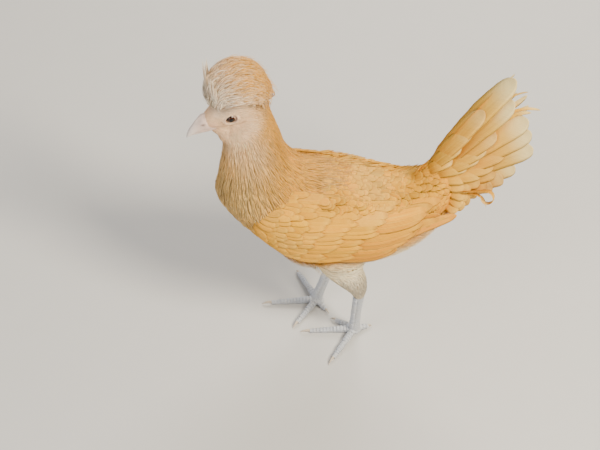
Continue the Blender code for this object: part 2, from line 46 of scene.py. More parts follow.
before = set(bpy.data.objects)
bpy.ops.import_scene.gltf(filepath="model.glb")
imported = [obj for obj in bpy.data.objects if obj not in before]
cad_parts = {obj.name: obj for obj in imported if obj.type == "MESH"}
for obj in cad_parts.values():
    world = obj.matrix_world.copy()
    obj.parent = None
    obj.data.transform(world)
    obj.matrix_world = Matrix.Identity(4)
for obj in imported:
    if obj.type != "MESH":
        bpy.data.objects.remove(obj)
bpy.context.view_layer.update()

MM = 0.001
BODY = "root"
PATCH = 0.003            # size of one feather's place on the map OFBake
SKIN_GRAIN = 0.0021      # mesh size of the skin, in metres
LEG_GRAIN = 0.0007       # mesh size of the legs' skin, in metres

# The hen's own sizes, in millimetres and degrees

# The trunk in upright slices: x, height of the centre, reach up, reach down, half width
TORSO = [
    (-157, 217, 6, 6, 6),
    (-151, 215, 21, 18, 19),
    (-132, 207, 44, 32, 36),
    (-104, 195, 57, 47, 49),
    (-62, 183, 64, 70, 57),
    (-20, 179, 61, 68, 56),
    (16, 176, 56, 61, 52),
    (46, 180, 48, 53, 44),
    (70, 191, 45, 48, 36),
    (90, 207, 40, 38, 28),
    (104, 223, 24, 22, 16),
]
# The neck in tilted slices: nape point x, z, throat point x, z, half width
NECK = [
    (-99, 344, -148, 300, 19),
    (-92, 322, -149, 283, 23),
    (-84, 296, -151, 262, 28),
    (-78, 274, -154, 243, 36),
    (-66, 254, -156, 222, 45),
    (-48, 236, -150, 198, 52),
    (-30, 215, -130, 180, 50),
]
NECK_HALF = 40.0
HEAD_PLACE = np.array((-131, 0, 331))
HEAD_YAW = 12                  # degrees towards her left side
HEAD_PITCH = 22                # degrees that the beak hangs below level
# The head from face to nape, in its own frame with the beak towards -x
HEAD = [
    (-37, 1, 7, 8, 7.5),
    (-33, 1, 10.5, 11, 10),
    (-20, 2, 16, 15, 15),
    (-5, 3, 19.5, 18, 18.5),
    (9, 2, 20, 20, 20),
    (22, -3, 17, 18, 16.5),
    (31, -8, 6, 8, 7),
]
# The line of the mouth: x and z
MOUTH = [(-64, -8.4), (-56, -4.6), (-46, -3.6), (-30, -4.6)]
# The beak's halves: x, reach away from the line of the mouth, half width
UPPER_BEAK = [
    (-29, 14.5, 9.4),
    (-37, 14.8, 8.4),
    (-45, 11.4, 6.6),
    (-53, 7.2, 4.8),
    (-60, 3.6, 2.9),
    (-63.6, 1.0, 1.2),
]
LOWER_BEAK = [
    (-29, 6.6, 8.2),
    (-40, 6.0, 7.0),
    (-50, 4.0, 5.0),
    (-57, 2.0, 3.0),
    (-60.5, 0.8, 1.4),
]
NOSTRIL_AT = (-40, 5.6, 4.2)
EYE_AT = (-9, 11.8, 3)
EYE_RADIUS = 6.6
EYE_OPENING = (6.6, 4.5)       # half length and half height between the lids
EYE_TILT = 24                  # degrees that the opening's front end hangs down
EYE_BARE = (10.2, 7.0)         # half length and half height of the ring without feathers
CREST_AT = np.array((10.5, 0, 26))
CREST_REACH = np.array((32, 28, 28.5))  # to the front and back, the sides and the top
CREST_CORE = (25, 20, 21)
CREST_DROOP = (18, -2, 24)     # degrees that the rim hangs at the front, sides and back
# Rounded forms under the head's skin: the knob that carries the crest, brow, chin, throat, cheek
HEAD_LUMPS = [
    (CREST_AT, CREST_CORE),
    ((-6, 0, 20), (15, 13, 8)),
    ((-25, 0, -14), (11.5, 8.5, 9)),
    ((-20, 0, -27), (14, 12.5, 13)),
    ((2, 0, -17), (20, 17.5, 13)),
]
# What the wings lie on: the trunk, run on under the tail, in rows like TORSO's
WING_BED = TORSO[:8] + [(72, 187, 45, 47, 38), (112, 197, 42, 40, 33)]
# The folded arm: x, middle and half reach in degrees round the trunk, thickness
WING_CORE = [
    (-112, 88, 4, 1.5),
    (-104, 87, 20, 4.0),
    (-84, 82, 34, 5.5),
    (-50, 78, 41, 4.5),
    (-14, 76, 38, 2.6),
    (14, 74, 28, 1.6),
    (30, 72, 10, 0.9),
]
TAIL_ROOT = np.array((86, 0, 222))
TAIL_AXIS = 36
# The rump under the tail: distance along its axis, half height, half width
TAIL_CORE = [(-24, 20, 12), (-8, 27, 15), (10, 29, 13), (28, 25, 9), (42, 15, 5.5), (48, 5, 3)]
# Thighs: x, y, z, half depth, half width. Shanks: hock and ankle. Toes: x and y from the foot's
# middle to the claw's tip, and the length of the bone
LEGS = {
    "left": {
        "thigh": [
            (-22, -30, 136, 30, 20),
            (-17, -34, 120, 25, 19),
            (-7, -35, 103, 19, 16),
            (0, -33, 88, 13.5, 12),
            (3, -31, 75, 9, 8.5),
            (4, -30, 68, 7, 6.6),
        ],
        "shank": ((4, -30, 67.7), (0, -24, 11)),
        "foot": (0, -23),
        "toes": {
            "middle": (-64, -2, 52),
            "outer": (-31, -53, 50),
            "inner": (-28, 20, 26),
            "hind": (21, 8, 16),
        },
    },
    "right": {
        "thigh": [
            (-30, 30, 136, 30, 20),
            (-30, 34, 120, 24, 19),
            (-28, 35, 103, 18, 15),
            (-25, 34, 88, 12.5, 11),
            (-23, 33, 77, 8.5, 8),
            (-22, 32.5, 70, 7, 6.6),
        ],
        "shank": ((-22, 32.5, 69.7), (-43, 24.5, 11)),
        "foot": (-43.5, 24),
        "toes": {
            "middle": (-66, -4, 54),
            "inner": (-29, -43, 42),
            "outer": (-25, 51, 50),
            "hind": (14, -20, 17),
        },
    },
}
SHANK_HALF = (6.6, 5.6)        # half depth and half width
TOE_RADIUS = (4.6, 2.7)        # at the foot and at the claw
PLATED_TOE = 46                # length of toe that carries the set number of plates
SIDES = (("left", -1), ("right", 1))


def tone(red, green, blue):
    """A colour from its screen values, 0 to 255, as the shaders take it."""
    shares = [c / 255 for c in (red, green, blue)]
    return tuple(c / 12.92 if c < 0.0404 else ((c + 0.055) / 1.055) ** 2.4 for c in shares)


# Settings

def colour_setting(name, description, *screen):
    """A colour, with its default from screen values."""
    return FloatVectorProperty(
        name=name, description=description, subtype="COLOR", size=3, min=0, max=1,
        default=tone(*screen))


def length_setting(name, description, default, low, high):
    """A length in metres."""
    return FloatProperty(
        name=name, description=description, subtype="DISTANCE", unit="LENGTH",
        default=default, min=low, max=high)


class HenColours(bpy.types.PropertyGroup):
    """Colours of the hen's plumage and bare parts."""

    gold: colour_setting("Back and wings", "Golden buff of the back and the wings", 232, 163, 14)
    rust: colour_setting(
        "Flight feathers", "Deeper orange of the flight and tail feathers", 214, 134, 14)
    tan: colour_setting("Neck and breast", "Pale tan of the front of the neck", 214, 170, 90)
    warm: colour_setting("Nape", "Warm buff of the nape and the back of the crest", 228, 160, 30)
    cream: colour_setting(
        "Belly and edges", "Cream of the belly, the thighs and the feather edges", 240, 226, 190)
    edge: colour_setting("Feather edges", "Lighter gold of the feathers' edges", 250, 208, 86)
    white: colour_setting("Tail tips", "White of the tail feathers' tips", 254, 242, 186)
    crest: colour_setting("Crest front", "Pale cream of the front of the crest", 250, 230, 206)
    face: colour_setting("Face", "Pinkish cream of the face", 246, 208, 166)
    beak: colour_setting("Beak", "Pale pink horn of the beak", 236, 204, 186)
    iris: colour_setting("Iris", "Brown of the iris", 74, 40, 20)
    leg: colour_setting("Legs", "Slate blue of the shanks and feet", 192, 196, 204)
    claw: colour_setting("Claws", "Pale tan of the claws", 206, 190, 168)


class HenCoat(bpy.types.PropertyGroup):
    """Sizes of the hen's feathers and counts of her leg plates."""

    seed: IntProperty(name="Seed", description="Start of every random draw", default=11, min=0)
    depth: length_setting(
        "Coat depth", "How far the skin lies inside the coat", 0.0024, 0.001, 0.01)
    body_length: length_setting(
        "Back feather", "Length of a feather on the middle of the back", 0.0175, 0.005, 0.04)
    hackle_length: length_setting(
        "Hackle", "Length of the longest feather of the neck", 0.028, 0.01, 0.06)
    face_length: length_setting(
        "Face feather", "Length of a feather beside the beak", 0.0033, 0.001, 0.006)
    scutes: IntProperty(
        name="Scutes", description="Plates down the front of each shank",
        default=17, min=5, max=30)
    toe_plates: IntProperty(
        name="Toe plates", description="Plates along a toe of 46 mm", default=13, min=4, max=30)


class HenStage(bpy.types.PropertyGroup):
    """The floor, the lights and the camera."""

    camera_height: FloatProperty(
        name="Camera elevation", description="Angle of the camera above the hen",
        subtype="ANGLE", unit="ROTATION", default=math.radians(45), min=0, max=math.pi / 2)
    camera_distance: length_setting(
        "Camera distance", "From the camera to the point that it looks at", 2.2, 0.5, 10)
    focal: FloatProperty(
        name="Focal length", description="Lens in millimetres on a 36 mm sensor",
        default=116.8, min=20)
    floor: colour_setting("Floor", "Plain pale floor", 206, 203, 198)
    key: FloatProperty(
        name="Key light", description="Power of the largest light", unit="POWER",
        default=80, min=0)


CLASSES = [HenColours, HenCoat, HenStage]


# Shape helpers

def through(rows, count):
    """count rows of a smooth curve through the given rows."""
    rows = np.array(rows, float)
    t = np.linspace(0, len(rows) - 1, count)
    i = np.minimum(t.astype(int), len(rows) - 2)
    f = (t - i)[:, None]
    slope = np.gradient(rows, axis=0)
    return (
        (2 * f**3 - 3 * f**2 + 1) * rows[i]
        + (f**3 - 2 * f**2 + f) * slope[i]
        + (3 * f**2 - 2 * f**3) * rows[i + 1]
        + (f**3 - f**2) * slope[i + 1]
    )


def unit(vectors):
    """The vectors at length 1."""
    return vectors / np.maximum(np.linalg.norm(vectors, axis=-1, keepdims=True), 1e-9)


def ease(value, low, high):
    """0 below low, 1 above high, smooth between them."""
    t = np.clip((np.asarray(value, float) - low) / (high - low), 0, 1)
    return t * t * (3 - 2 * t)


def mound(across, up=0.0):
    """1 where both numbers are 0, falling to almost nothing by 2."""
    return np.exp(-(across**2) - up**2)


def mixed(a, b, share):
    """a turned to b by the share, which has one number for each row."""
    share = np.asarray(share, float)
    return np.asarray(a) * (1 - share[..., None]) + np.asarray(b) * share[..., None]


UP = (0, 0, 1)
ASIDE = (0, 1, 0)


def ring(centre, reach_up, reach_down, half_width, points, up=UP, side=ASIDE):
    """An oval slice with its own reach above and below the centre."""
    angle = np.arange(points) * math.tau / points
    rise = np.cos(angle)
    reach = np.where(rise > 0, reach_up, reach_down)
    return (
        np.array(centre) + np.outer(rise * reach, up) + np.outer(np.sin(angle) * half_width, side))


def head_turn():
    """How the head is turned: its own axes in the columns."""
    yaw, nod = math.radians(HEAD_YAW), math.radians(-HEAD_PITCH)
    return np.array(Matrix.Rotation(yaw, 3, "Z") @ Matrix.Rotation(nod, 3, "Y"))


def in_head(points):
    """Points of the head's own frame, put in place."""
    return np.array(points, float) @ head_turn().T + HEAD_PLACE


def from_head(points):
    """Points in place, back in the head's own frame."""
    return (np.array(points, float) - HEAD_PLACE) @ head_turn()


def linked(name, data):
    """An object of the data, in the scene."""
    made = bpy.data.objects.new(name, data)
    bpy.context.scene.collection.objects.link(made)
    return made


def fetched(items, field, width, kind=np.float32):
    """One field of all the items, as rows of that width."""
    found = np.zeros(len(items) * width, kind)
    items.foreach_get(field, found)
    return found.reshape(-1, width)


def store(mesh, name, kind, field, values):
    """Writes one value for each point as an attribute of the mesh."""
    layer = mesh.attributes.new(name, kind, "POINT")
    layer.data.foreach_set(field, np.asarray(values, np.float32).ravel())


def tree_of(points):
    """A search tree of the points."""
    tree = KDTree(len(points))
    for k, point in enumerate(points):
        tree.insert(point, k)
    tree.balance()
    return tree


def piece(name, points, faces, corners=None):
    """An object of the points, in millimetres. faces is an array of corner rows, or a flat
    array where corners gives each face's count. Faces are turned outwards."""
    points = np.asarray(points, float).reshape(-1, 3)
    if corners is None:
        faces = np.asarray(faces)
        corners = np.full(len(faces), faces.shape[1])
    faces = np.asarray(faces).ravel()
    starts = np.concatenate([[0], np.cumsum(corners)[:-1]])
    mesh = bpy.data.meshes.new(name)
    mesh.vertices.add(len(points))
    mesh.vertices.foreach_set("co", (points * MM).astype(np.float32).ravel())
    mesh.loops.add(len(faces))
    mesh.loops.foreach_set("vertex_index", faces.astype(np.int32))
    mesh.polygons.add(len(starts))
    mesh.polygons.foreach_set("loop_start", starts.astype(np.int32))
    mesh.update(calc_edges=True)
    if mesh.validate():
        raise RuntimeError(f"{name} has faces that can't stand")
    if volume(mesh) < 0:
        mesh.flip_normals()
    mesh.shade_smooth()
    return linked(name, mesh)


def triangles(mesh):
    """The points' numbers of each of the mesh's triangles."""
    mesh.calc_loop_triangles()
    return fetched(mesh.loop_triangles, "vertices", 3, np.int32)


def volume(mesh):
    """The mesh's volume, below 0 where its faces look inwards."""
    spots = fetched(mesh.vertices, "co", 3).astype(float)
    a, b, c = spots[triangles(mesh)].transpose(1, 0, 2)
    return float((a * np.cross(b, c)).sum() / 6)


def loft_faces(rings, around):
    """Faces of a tube of rings with a middle point at each end, as a flat array and counts."""
    k, j = np.meshgrid(np.arange(rings - 1), np.arange(around), indexing="ij")
    a, b = k * around + j, k * around + (j + 1) % around
    walls = np.stack([a, b, b + around, a + around], axis=-1).reshape(-1, 4)
    j = np.arange(around)
    after, first, end = (j + 1) % around, rings * around, (rings - 1) * around
    caps = np.concatenate([
        np.stack([np.full(around, first), after, j], axis=-1),
        np.stack([np.full(around, first + 1), end + j, end + after], axis=-1),
    ])
    return np.concatenate([walls.ravel(), caps.ravel()]), [4] * len(walls) + [3] * len(caps)


def loft(name, rings):
    """A closed skin over the rings, each end closed round its middle point."""
    rings = np.array(rings, float)
    points = np.vstack([rings.reshape(-1, 3), rings[0].mean(0), rings[-1].mean(0)])
    return piece(name, points, *loft_faces(len(rings), rings.shape[1]))


def evaluated(obj):
    """Replaces the object's mesh by what its modifiers make of it, and removes them."""
    graph = bpy.context.evaluated_depsgraph_get()
    result = bpy.data.meshes.new_from_object(obj.evaluated_get(graph))
    obj.modifiers.clear()
    obj.data = result
    return obj


def joined(name, objects):
    """One object of the objects' meshes, as they are, in order."""
    work = bmesh.new()
    for obj in objects:
        work.from_mesh(obj.data)
    mesh = bpy.data.meshes.new(name)
    work.to_mesh(mesh)
    work.free()
    for obj in objects:
        bpy.data.objects.remove(obj, do_unlink=True)
    mesh.shade_smooth()
    return linked(name, mesh)


def grown_together(name, solids, grain, rounds):
    """One closed surface round the solids, with grain as its mesh size, softened."""
    made = joined(name, solids)
    remesh = made.modifiers.new("remesh", "REMESH")
    remesh.mode = "VOXEL"
    remesh.voxel_size = grain
    soften = made.modifiers.new("soften", "SMOOTH")
    soften.factor = 0.5
    soften.iterations = rounds
    evaluated(made)
    made.data.shade_smooth()
    return made


def welded(obj, other):
    """obj and other as one closed surface."""
    union = obj.modifiers.new("union", "BOOLEAN")
    union.operation = "UNION"
    union.solver = "MANIFOLD"
    union.object = other
    evaluated(obj)
    bpy.data.objects.remove(other, do_unlink=True)
    obj.data.shade_smooth()
    return obj


def spots_of(mesh):
    """The mesh's points in millimetres, and the way out at each."""
    spots = fetched(mesh.vertices, "co", 3).astype(float)
    return spots / MM, fetched(mesh.vertex_normals, "vector", 3).astype(float)


def finish_piece(obj, material, slot, *nodes):
    """Gives the piece its finish, its body and the solids that it stands for."""
    obj.data.materials.clear()
    obj.data.materials.append(material)
    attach(obj, BODY)
    if nodes:
        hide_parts(*nodes)
    return obj


# Shader helpers

class Wire:
    """A socket of a shader, on which Python's arithmetic adds Math nodes."""

    def __init__(self, tree, socket):
        self.tree = tree
        self.socket = socket

    def maths(self, operation, *values):
        made = self.tree.nodes.new("ShaderNodeMath")
        made.operation = operation
        for place, value in zip(made.inputs, values):
            plug(self.tree, place, value)
        return Wire(self.tree, made.outputs[0])

    def __add__(self, other):
        return self.maths("ADD", self, other)

    def __sub__(self, other):
        return self.maths("SUBTRACT", self, other)

    def __rsub__(self, other):
        return self.maths("SUBTRACT", other, self)

    def __mul__(self, other):
        return self.maths("MULTIPLY", self, other)

    def __truediv__(self, other):
        return self.maths("DIVIDE", self, other)

    def __pow__(self, other):
        return self.maths("POWER", self, other)

    __radd__ = __add__
    __rmul__ = __mul__

    def size(self):
        return self.maths("ABSOLUTE", self)

    def larger(self, other):
        return self.maths("MAXIMUM", self, other)

    def wave(self):
        return self.maths("SINE", self)


def plug(tree, place, value):
    """Sets a socket to a value, or links a wire to it."""
    if isinstance(value, Wire):
        tree.links.new(value.socket, place)
    elif place.type == "RGBA" and len(value) == 3:
        place.default_value = (*value, 1)
    else:
        place.default_value = value


class Finish:
    """A material under construction: its nodes, and its Principled shader at the end."""

    def __init__(self, name):
        self.material = bpy.data.materials.new(name)
        self.material.use_nodes = True
        self.tree = self.material.node_tree
        self.shader = self.tree.nodes["Principled BSDF"]

    def node(self, kind, settings=None, sockets=None, output=0):
        """Any node: its settings first, then the values or wires of its sockets."""
        made = self.tree.nodes.new(kind)
        for name, value in (settings or {}).items():
            if name == "stops":
                ramp = made.color_ramp
                while len(ramp.elements) < len(value):
                    ramp.elements.new(1)
                for element, (place, colour) in zip(ramp.elements, value):
                    element.position = place
                    element.color = (*colour, 1)
            else:
                setattr(made, name, value)
        for name, value in (sockets or {}).items():
            plug(self.tree, made.inputs[name], value)
        return Wire(self.tree, made.outputs[output])

    def attribute(self, name, output):
        return self.node("ShaderNodeAttribute", {"attribute_name": name}, None, output)

    def place(self):
        return self.node("ShaderNodeTexCoord", None, None, "Object")

    def parts(self, vector):
        """The three numbers of a vector."""
        first = self.node("ShaderNodeSeparateXYZ", None, {0: vector})
        return [Wire(self.tree, socket) for socket in first.socket.node.outputs]

    def combined(self, *values):
        return self.node("ShaderNodeCombineXYZ", None, dict(enumerate(values)))

    def noise(self, vector, scale, detail=2.0, roughness=0.5):
        return self.node(
            "ShaderNodeTexNoise", None,
            {"Vector": vector, "Scale": scale, "Detail": detail, "Roughness": roughness})

    def cells(self, vector, scale, feature="DISTANCE_TO_EDGE"):
        return self.node(
            "ShaderNodeTexVoronoi", {"feature": feature}, {"Vector": vector, "Scale": scale})

    def mix(self, share, a, b, blend="MIX"):
        return self.node(
            "ShaderNodeMix", {"data_type": "RGBA", "blend_type": blend}, {0: share, 6: a, 7: b}, 2)

    def ease(self, value, low, high):
        return self.node(
            "ShaderNodeMapRange", {"interpolation_type": "SMOOTHSTEP"},
            {"Value": value, "From Min": low, "From Max": high, "To Min": 0.0, "To Max": 1.0})

    def bump(self, height, strength, distance):
        return self.node(
            "ShaderNodeBump", None, {"Height": height, "Strength": strength, "Distance": distance})

    def done(self, sockets):
        for name, value in sockets.items():
            plug(self.tree, self.shader.inputs[name], value)
        return self.material


def plumage_finish(name, edge, edge_share, streak, shaft, line, root_shadow):
    """Feathers: each has its own tint, a pale edge, fine slanting barbs and a shaft, and painted
    shade towards its root, where the feathers over it lie.

    The attribute vane holds the place across and along the feather and its length in
    centimetres, and wide its half width there. The attribute tint holds its colour, with a
    random share as its fourth."""
    f = Finish(name)
    tint = f.attribute("tint", "Color")
    chance = f.attribute("tint", "Alpha")
    across, along, length = f.parts(f.attribute("vane", "Vector"))
    off = across.size()
    tip = f.ease(along, 0.6, 1.0)
    rim = off.larger(tip * 0.98)
    pale = f.mix(0.55, tint, tuple(edge))
    lace = f.ease(rim + (chance - 0.5) * 0.18, 0.5, 0.98) * edge_share
    slant = along * length - off * f.attribute("wide", "Fac") * 0.9
    barbs = (slant * 130.0 + chance * 40.0).wave()
    grain = f.noise(f.combined(slant * 8.0, chance * 31.0, across * 0.25), 2.2)
    split = f.noise(f.combined(slant * 1.6, chance * 53.0, across * 0.15), 2.2, 0.0)
    notch = f.ease(split, 0.60, 0.62) * (1.0 - f.ease(split, 0.62, 0.65)) * f.ease(off, 0.4, 0.95)
    strand = f.node("ShaderNodeTexNoise", {"noise_dimensions": "4D"}, {
        "Vector": f.combined(across * 3.4, along * 0.8, chance * 37.0),
        "W": chance * 19.0, "Scale": 2.2, "Detail": 3.0})
    dark = f.mix(1.0, tint, (0.60, 0.46, 0.34), "MULTIPLY")
    colour = f.mix(f.ease(strand, 0.45, 0.8) * streak, tint, pale)
    colour = f.mix((1.0 - f.ease(strand, 0.22, 0.5)) * streak * 0.6, colour, dark)
    # painted shade: each feather turns darker towards its root, where the feathers over it lie
    root = 1.0 - f.ease(along, 0.1, 0.55)
    colour = f.mix(root * root_shadow, colour, dark)
    colour = f.mix(lace, colour, pale)
    colour = f.mix(f.ease(rim, 0.88, 0.98) * line, colour, dark)
    rachis = (1.0 - f.ease(off, 0.03, 0.13)) * (1.0 - f.ease(along, 0.55, 0.95))
    colour = f.mix(rachis * shaft, colour, pale)
    fine = (barbs * 0.5 + 0.5) * 0.10 + f.ease(grain, 0.42, 0.72) * 0.26
    colour = f.mix(fine, colour, dark)
    colour = f.mix(notch * line, colour, dark)
    height = barbs * 0.12 + grain * 0.5 + strand * 1.2 + rachis * 0.5
    return f.done({
        "Base Color": colour,
        "Roughness": 0.62 + strand * 0.2,
        "Normal": f.bump(height, 0.35, 0.0004),
        "Specular IOR Level": 0.3,
    })


def skin_finish(colours):
    """The skin: the plumage's own markings, pinker and finely pimpled where it is bare."""
    f = Finish("hen_skin")
    tint = f.attribute("tint", "Color")
    bare = f.attribute("tint", "Alpha")
    place = f.place()
    blotch = f.noise(place, 210.0, 4.0)
    pimples = f.cells(place, 1500.0, "F1")
    pink = f.mix(f.ease(blotch, 0.3, 0.7), tuple(colours.face), tone(226, 180, 160))
    pink = f.mix(1.0, pink, tint, "MULTIPLY")
    mottled = f.mix(f.ease(blotch, 0.35, 0.75) * 0.35, tint, (0.30, 0.15, 0.06))
    colour = f.mix(bare, mottled, pink)
    folds = f.noise(place, 620.0, 3.0)
    return f.done({
        "Base Color": colour,
        "Roughness": 0.72 - bare * 0.2 + blotch * 0.1,
        "Normal": f.bump(pimples * 0.5 + folds, 0.4, 0.0004),
        "Specular IOR Level": 0.35,
    })


def horn_finish(name, colour, tip_colour, axis, base, tip):
    """Horn of the beak or the claws with fine growth lines. Its colour turns to the tip's from
    base to tip, two places in metres along the axis of that number."""
    f = Finish(name)
    place = f.place()
    share = f.ease(f.parts(place)[axis], base, tip)
    cloud = f.noise(place, 160.0, 4.0)
    squeezed = f.node("ShaderNodeMapping", None, {"Vector": place, "Scale": (900.0, 240.0, 900.0)})
    lines = f.noise(squeezed, 3.0, 3.0)
    worn = f.mix(f.ease(cloud, 0.3, 0.75), tuple(colour), tuple(c * 0.78 for c in colour))
    toned = f.mix(share, worn, tip_colour)
    lined = f.mix(f.ease(lines, 0.35, 0.7) * 0.25, toned, (0.42, 0.30, 0.24))
    return f.done({
        # painted shade: the nostril's slit turns near black
        "Base Color": f.mix(f.attribute("pit", "Fac"), lined, (0.10, 0.05, 0.04)),
        "Roughness": 0.34 + lines * 0.2,
        "Normal": f.bump(lines + cloud * 0.5, 0.25, 0.0003),
        "Coat Weight": 0.15,
        "Coat Roughness": 0.3,
    })


def eye_finish(colours):
    """The eyeball in its own map: round pupil, brown iris with rays, dark rim, wet all over."""
    f = Finish("hen_eye")
    across, up, _ = f.parts(f.attribute("gaze", "Vector"))
    far = (across * across + up * up) ** 0.5
    rays = f.noise(f.combined(across / (far + 0.05), up / (far + 0.05), far * 0.6), 5.0, 3.0)
    iris = f.mix(f.ease(rays, 0.3, 0.7), tuple(colours.iris), tuple(c * 0.45 for c in colours.iris))
    iris = f.mix(f.ease(far, 0.62, 0.82), iris, (0.010, 0.006, 0.004))
    colour = f.mix(1.0 - f.ease(far, 0.46, 0.52), iris, (0.004, 0.003, 0.003))
    return f.done({
        "Base Color": colour,
        "Roughness": 0.06,
        "Coat Weight": 0.25,
        "Coat Roughness": 0.02,
        "Specular IOR Level": 0.3,
        "IOR": 1.38,
    })


def scale_finish(name, colours, joints, relief):
    """Scaly leg skin: slate blue with paler worn middles. joints says how dark the lines
    between the scales are, and relief how deep."""
    f = Finish(name)
    place = f.place()
    cell = f.cells(place, 620.0)
    cloud = f.noise(place, 90.0, 3.0)
    fine = f.noise(place, 1400.0, 2.0)
    slate = tuple(colours.leg)
    lighter = tuple(c * g for c, g in zip(slate, (1.12, 1.08, 1.0)))
    base = f.mix(f.ease(cloud, 0.3, 0.7), slate, lighter)
    dusty = f.mix(f.ease(fine, 0.45, 0.8) * 0.4, base, tone(196, 188, 176))
    joint = 1.0 - f.ease(cell, 0.0, 0.10)
    return f.done({
        "Base Color": f.mix(joint * joints, dusty, tone(98, 98, 104)),
        "Roughness": 0.5 + cloud * 0.15,
        "Normal": f.bump(f.ease(cell, 0.0, 0.22) * relief + fine * 0.2, 0.5, 0.0004),
        "Specular IOR Level": 0.4,
    })


# The hen's colours

def neck_side(points):
    """How far each point lies from the neck's middle: about -1 at the throat, 1 at the nape."""
    rows = through(NECK, 40)
    middle = (rows[:, :2] + rows[:, 2:4]) / 2
    x = np.interp(-points[:, 2], -middle[:, 1], middle[:, 0])
    return (points[:, 0] - x) / NECK_HALF


def cloud(points, size, start):
    """A soft random pattern over space, from about -1 to 1, with blotches of that size."""
    rng = np.random.default_rng(start)
    ways = rng.normal(0, 1.4, (12, 3)) / size
    return np.sin(points @ ways.T + rng.uniform(0, math.tau, 12)).mean(axis=1) * 2.2


def under_crest(points):
    """1 under the rim of the crest, where the face is painted as pale as the crest: partly its own
    pale colour, partly painted light against the shade under the rim.
    """
    x, _, z = from_head(points).T
    return ease(z - 0.25 * x, 8, 19)


def plumage_hues(points, colours):
    """The plumage's colour at points in millimetres, the same for skin and feathers."""
    x, y, z = points.T
    to_nape = neck_side(points)
    gold, rust, tan, warm, cream, face, crest = (
        np.array(getattr(colours, name))
        for name in ("gold", "rust", "tan", "warm", "cream", "face", "crest"))
    hue = np.tile(gold, (len(points), 1))
    hue = mixed(hue, rust, ease(x, 20, 100) * 0.35)
    # deeper rust over the top of the back: partly the back's own colour, partly painted shade
    hue = mixed(hue, rust * 0.85, ease(z - 0.25 * np.abs(y), 196, 236) * ease(-x, -96, 60) * 0.4)
    hue = mixed(hue, tan, np.clip(0.5 * cloud(points, 22, 3), 0, 0.45))
    neck = ease(z - 0.55 * (x + 60), 218, 258)
    neck_hue = mixed(tan, warm, ease(to_nape, -0.35, 0.75))
    throat = ease(z, 252, 306) * ease(-to_nape, -0.8, 0.1)
    neck_hue = mixed(neck_hue, face * (0.95, 0.90, 0.78), throat)
    neck_hue = mixed(neck_hue, warm, np.clip(0.4 * cloud(points, 11, 5), 0, 0.35))
    hue = mixed(hue, neck_hue, neck * ease(-x, 40, 62))
    # painted shade: the breast turns darker brown towards its lower part, under its curve
    breast = ease(-x, 92, 128) * (1 - neck)
    hue = mixed(hue, mixed(warm * 0.78, tan, ease(z, 165, 240)), breast)
    line = 142 + 22 * ease(x, 0, 60)
    hue = mixed(hue, cream, ease(line - z, -6, 16))
    vent = ease(x, 34, 80) * ease(-z, -196, -160)
    hue = mixed(hue, mixed(cream, warm, np.array(0.35)), vent)
    head = from_head(points)
    near = ease(-np.linalg.norm(head - (-8, 0, -2), axis=1), -40, -26)
    hue = mixed(hue, face, near * ease(-head[:, 0], -24, -2))
    # the brow under the crest's rim turns crest-pale: partly its own colour, partly painted light
    # against the rim's shade
    brow = under_crest(points) * ease(head[:, 0], -34, -16)
    hue = mixed(hue, crest, near * 0.7 * brow)
    leg = ease(-z, -124, -108)
    hue = mixed(hue, cream * (0.80, 0.79, 0.84), leg)
    return hue * (1 + 0.12 * cloud(points, 16, 8))[:, None]


# Skin

def trunk_rings(depth):
    """The trunk in slices, depth inside its outline."""
    rings = []
    for x, z, up, down, half in through(TORSO, 50):
        inner = min(depth, 0.6 * half)
        rings.append(ring((x, 0, z), up - inner, down - inner, half - inner, 64))
    return rings


def neck_rings(depth):
    """The neck in slices, from the crown down into the trunk."""
    rings = []
    for nape_x, nape_z, throat_x, throat_z, half in through(NECK, 30):
        nape, throat = np.array((nape_x, 0, nape_z)), np.array((throat_x, 0, throat_z))
        reach = np.linalg.norm(nape - throat) / 2
        up = (nape - throat) / (2 * reach)
        inner = reach - depth
        rings.append(ring((nape + throat) / 2, inner, inner, half - depth, 48, up))
    return rings


def tail_frame(raise_deg, splay_deg, roll_deg, side):
    """Direction of a tail feather and the way its outer side looks, from degrees of rise above
    level, of turn to the side and of roll from facing sideways to facing up."""
    rise, splay = math.radians(raise_deg), math.radians(splay_deg)
    flat = math.cos(splay)
    along = np.array((math.cos(rise) * flat, side * math.sin(splay), math.sin(rise) * flat))
    up = np.array((-math.sin(rise), 0, math.cos(rise)))
    lateral = np.cross(up, along)
    lateral *= side if lateral[1] > 0 else -side
    roll = math.radians(roll_deg)
    return along, lateral * math.cos(roll) + up * math.sin(roll)


def rump_rings(depth):
    """The rump in slices, along the tail's axis."""
    axis, up = tail_frame(TAIL_AXIS, 0, 90, 1)
    rings = []
    for away, high, wide in through(TAIL_CORE, 20):
        inner = min(depth, 0.5 * wide)
        centre = TAIL_ROOT + axis * away
        rings.append(ring(centre, high - inner, high - inner, wide - inner, 32, up))
    return rings


def thigh_rings(rows, depth):
    """A thigh in level slices."""
    return [
        ring((x, y, z), fore - depth, fore - depth, side - depth, 32, (1, 0, 0))
        for x, y, z, fore, side in through(rows, 24)
    ]


BED = through(WING_BED, 240)


def bed_slice(x):
    """The wing's bed at x: height of the centre, reach up, reach down, half width."""
    return [np.interp(x, BED[:, 0], BED[:, k]) for k in (1, 2, 3, 4)]


def bed_point(x, angle, side):
    """The wing's bed at x, angle degrees round from the middle of the back."""
    z, up, down, half = bed_slice(x)
    turn = np.radians(angle)
    rise = np.cos(turn)
    height = z + rise * np.where(rise > 0, up, down)
    return np.stack([x, side * half * np.sin(turn), height], axis=-1)


def over_bed(x, angle, side, height):
    """Points that height over the bed, the way out of it and the way round it there."""
    x, angle = np.asarray(x, float), np.asarray(angle, float)
    along = bed_point(x + 4, angle, side) - bed_point(x - 4, angle, side)
    around = bed_point(x, angle + 4, side) - bed_point(x, angle - 4, side)
    out = unit(np.cross(along, around) * side)
    return bed_point(x, angle, side) + out * np.asarray(height)[..., None], out, unit(around)


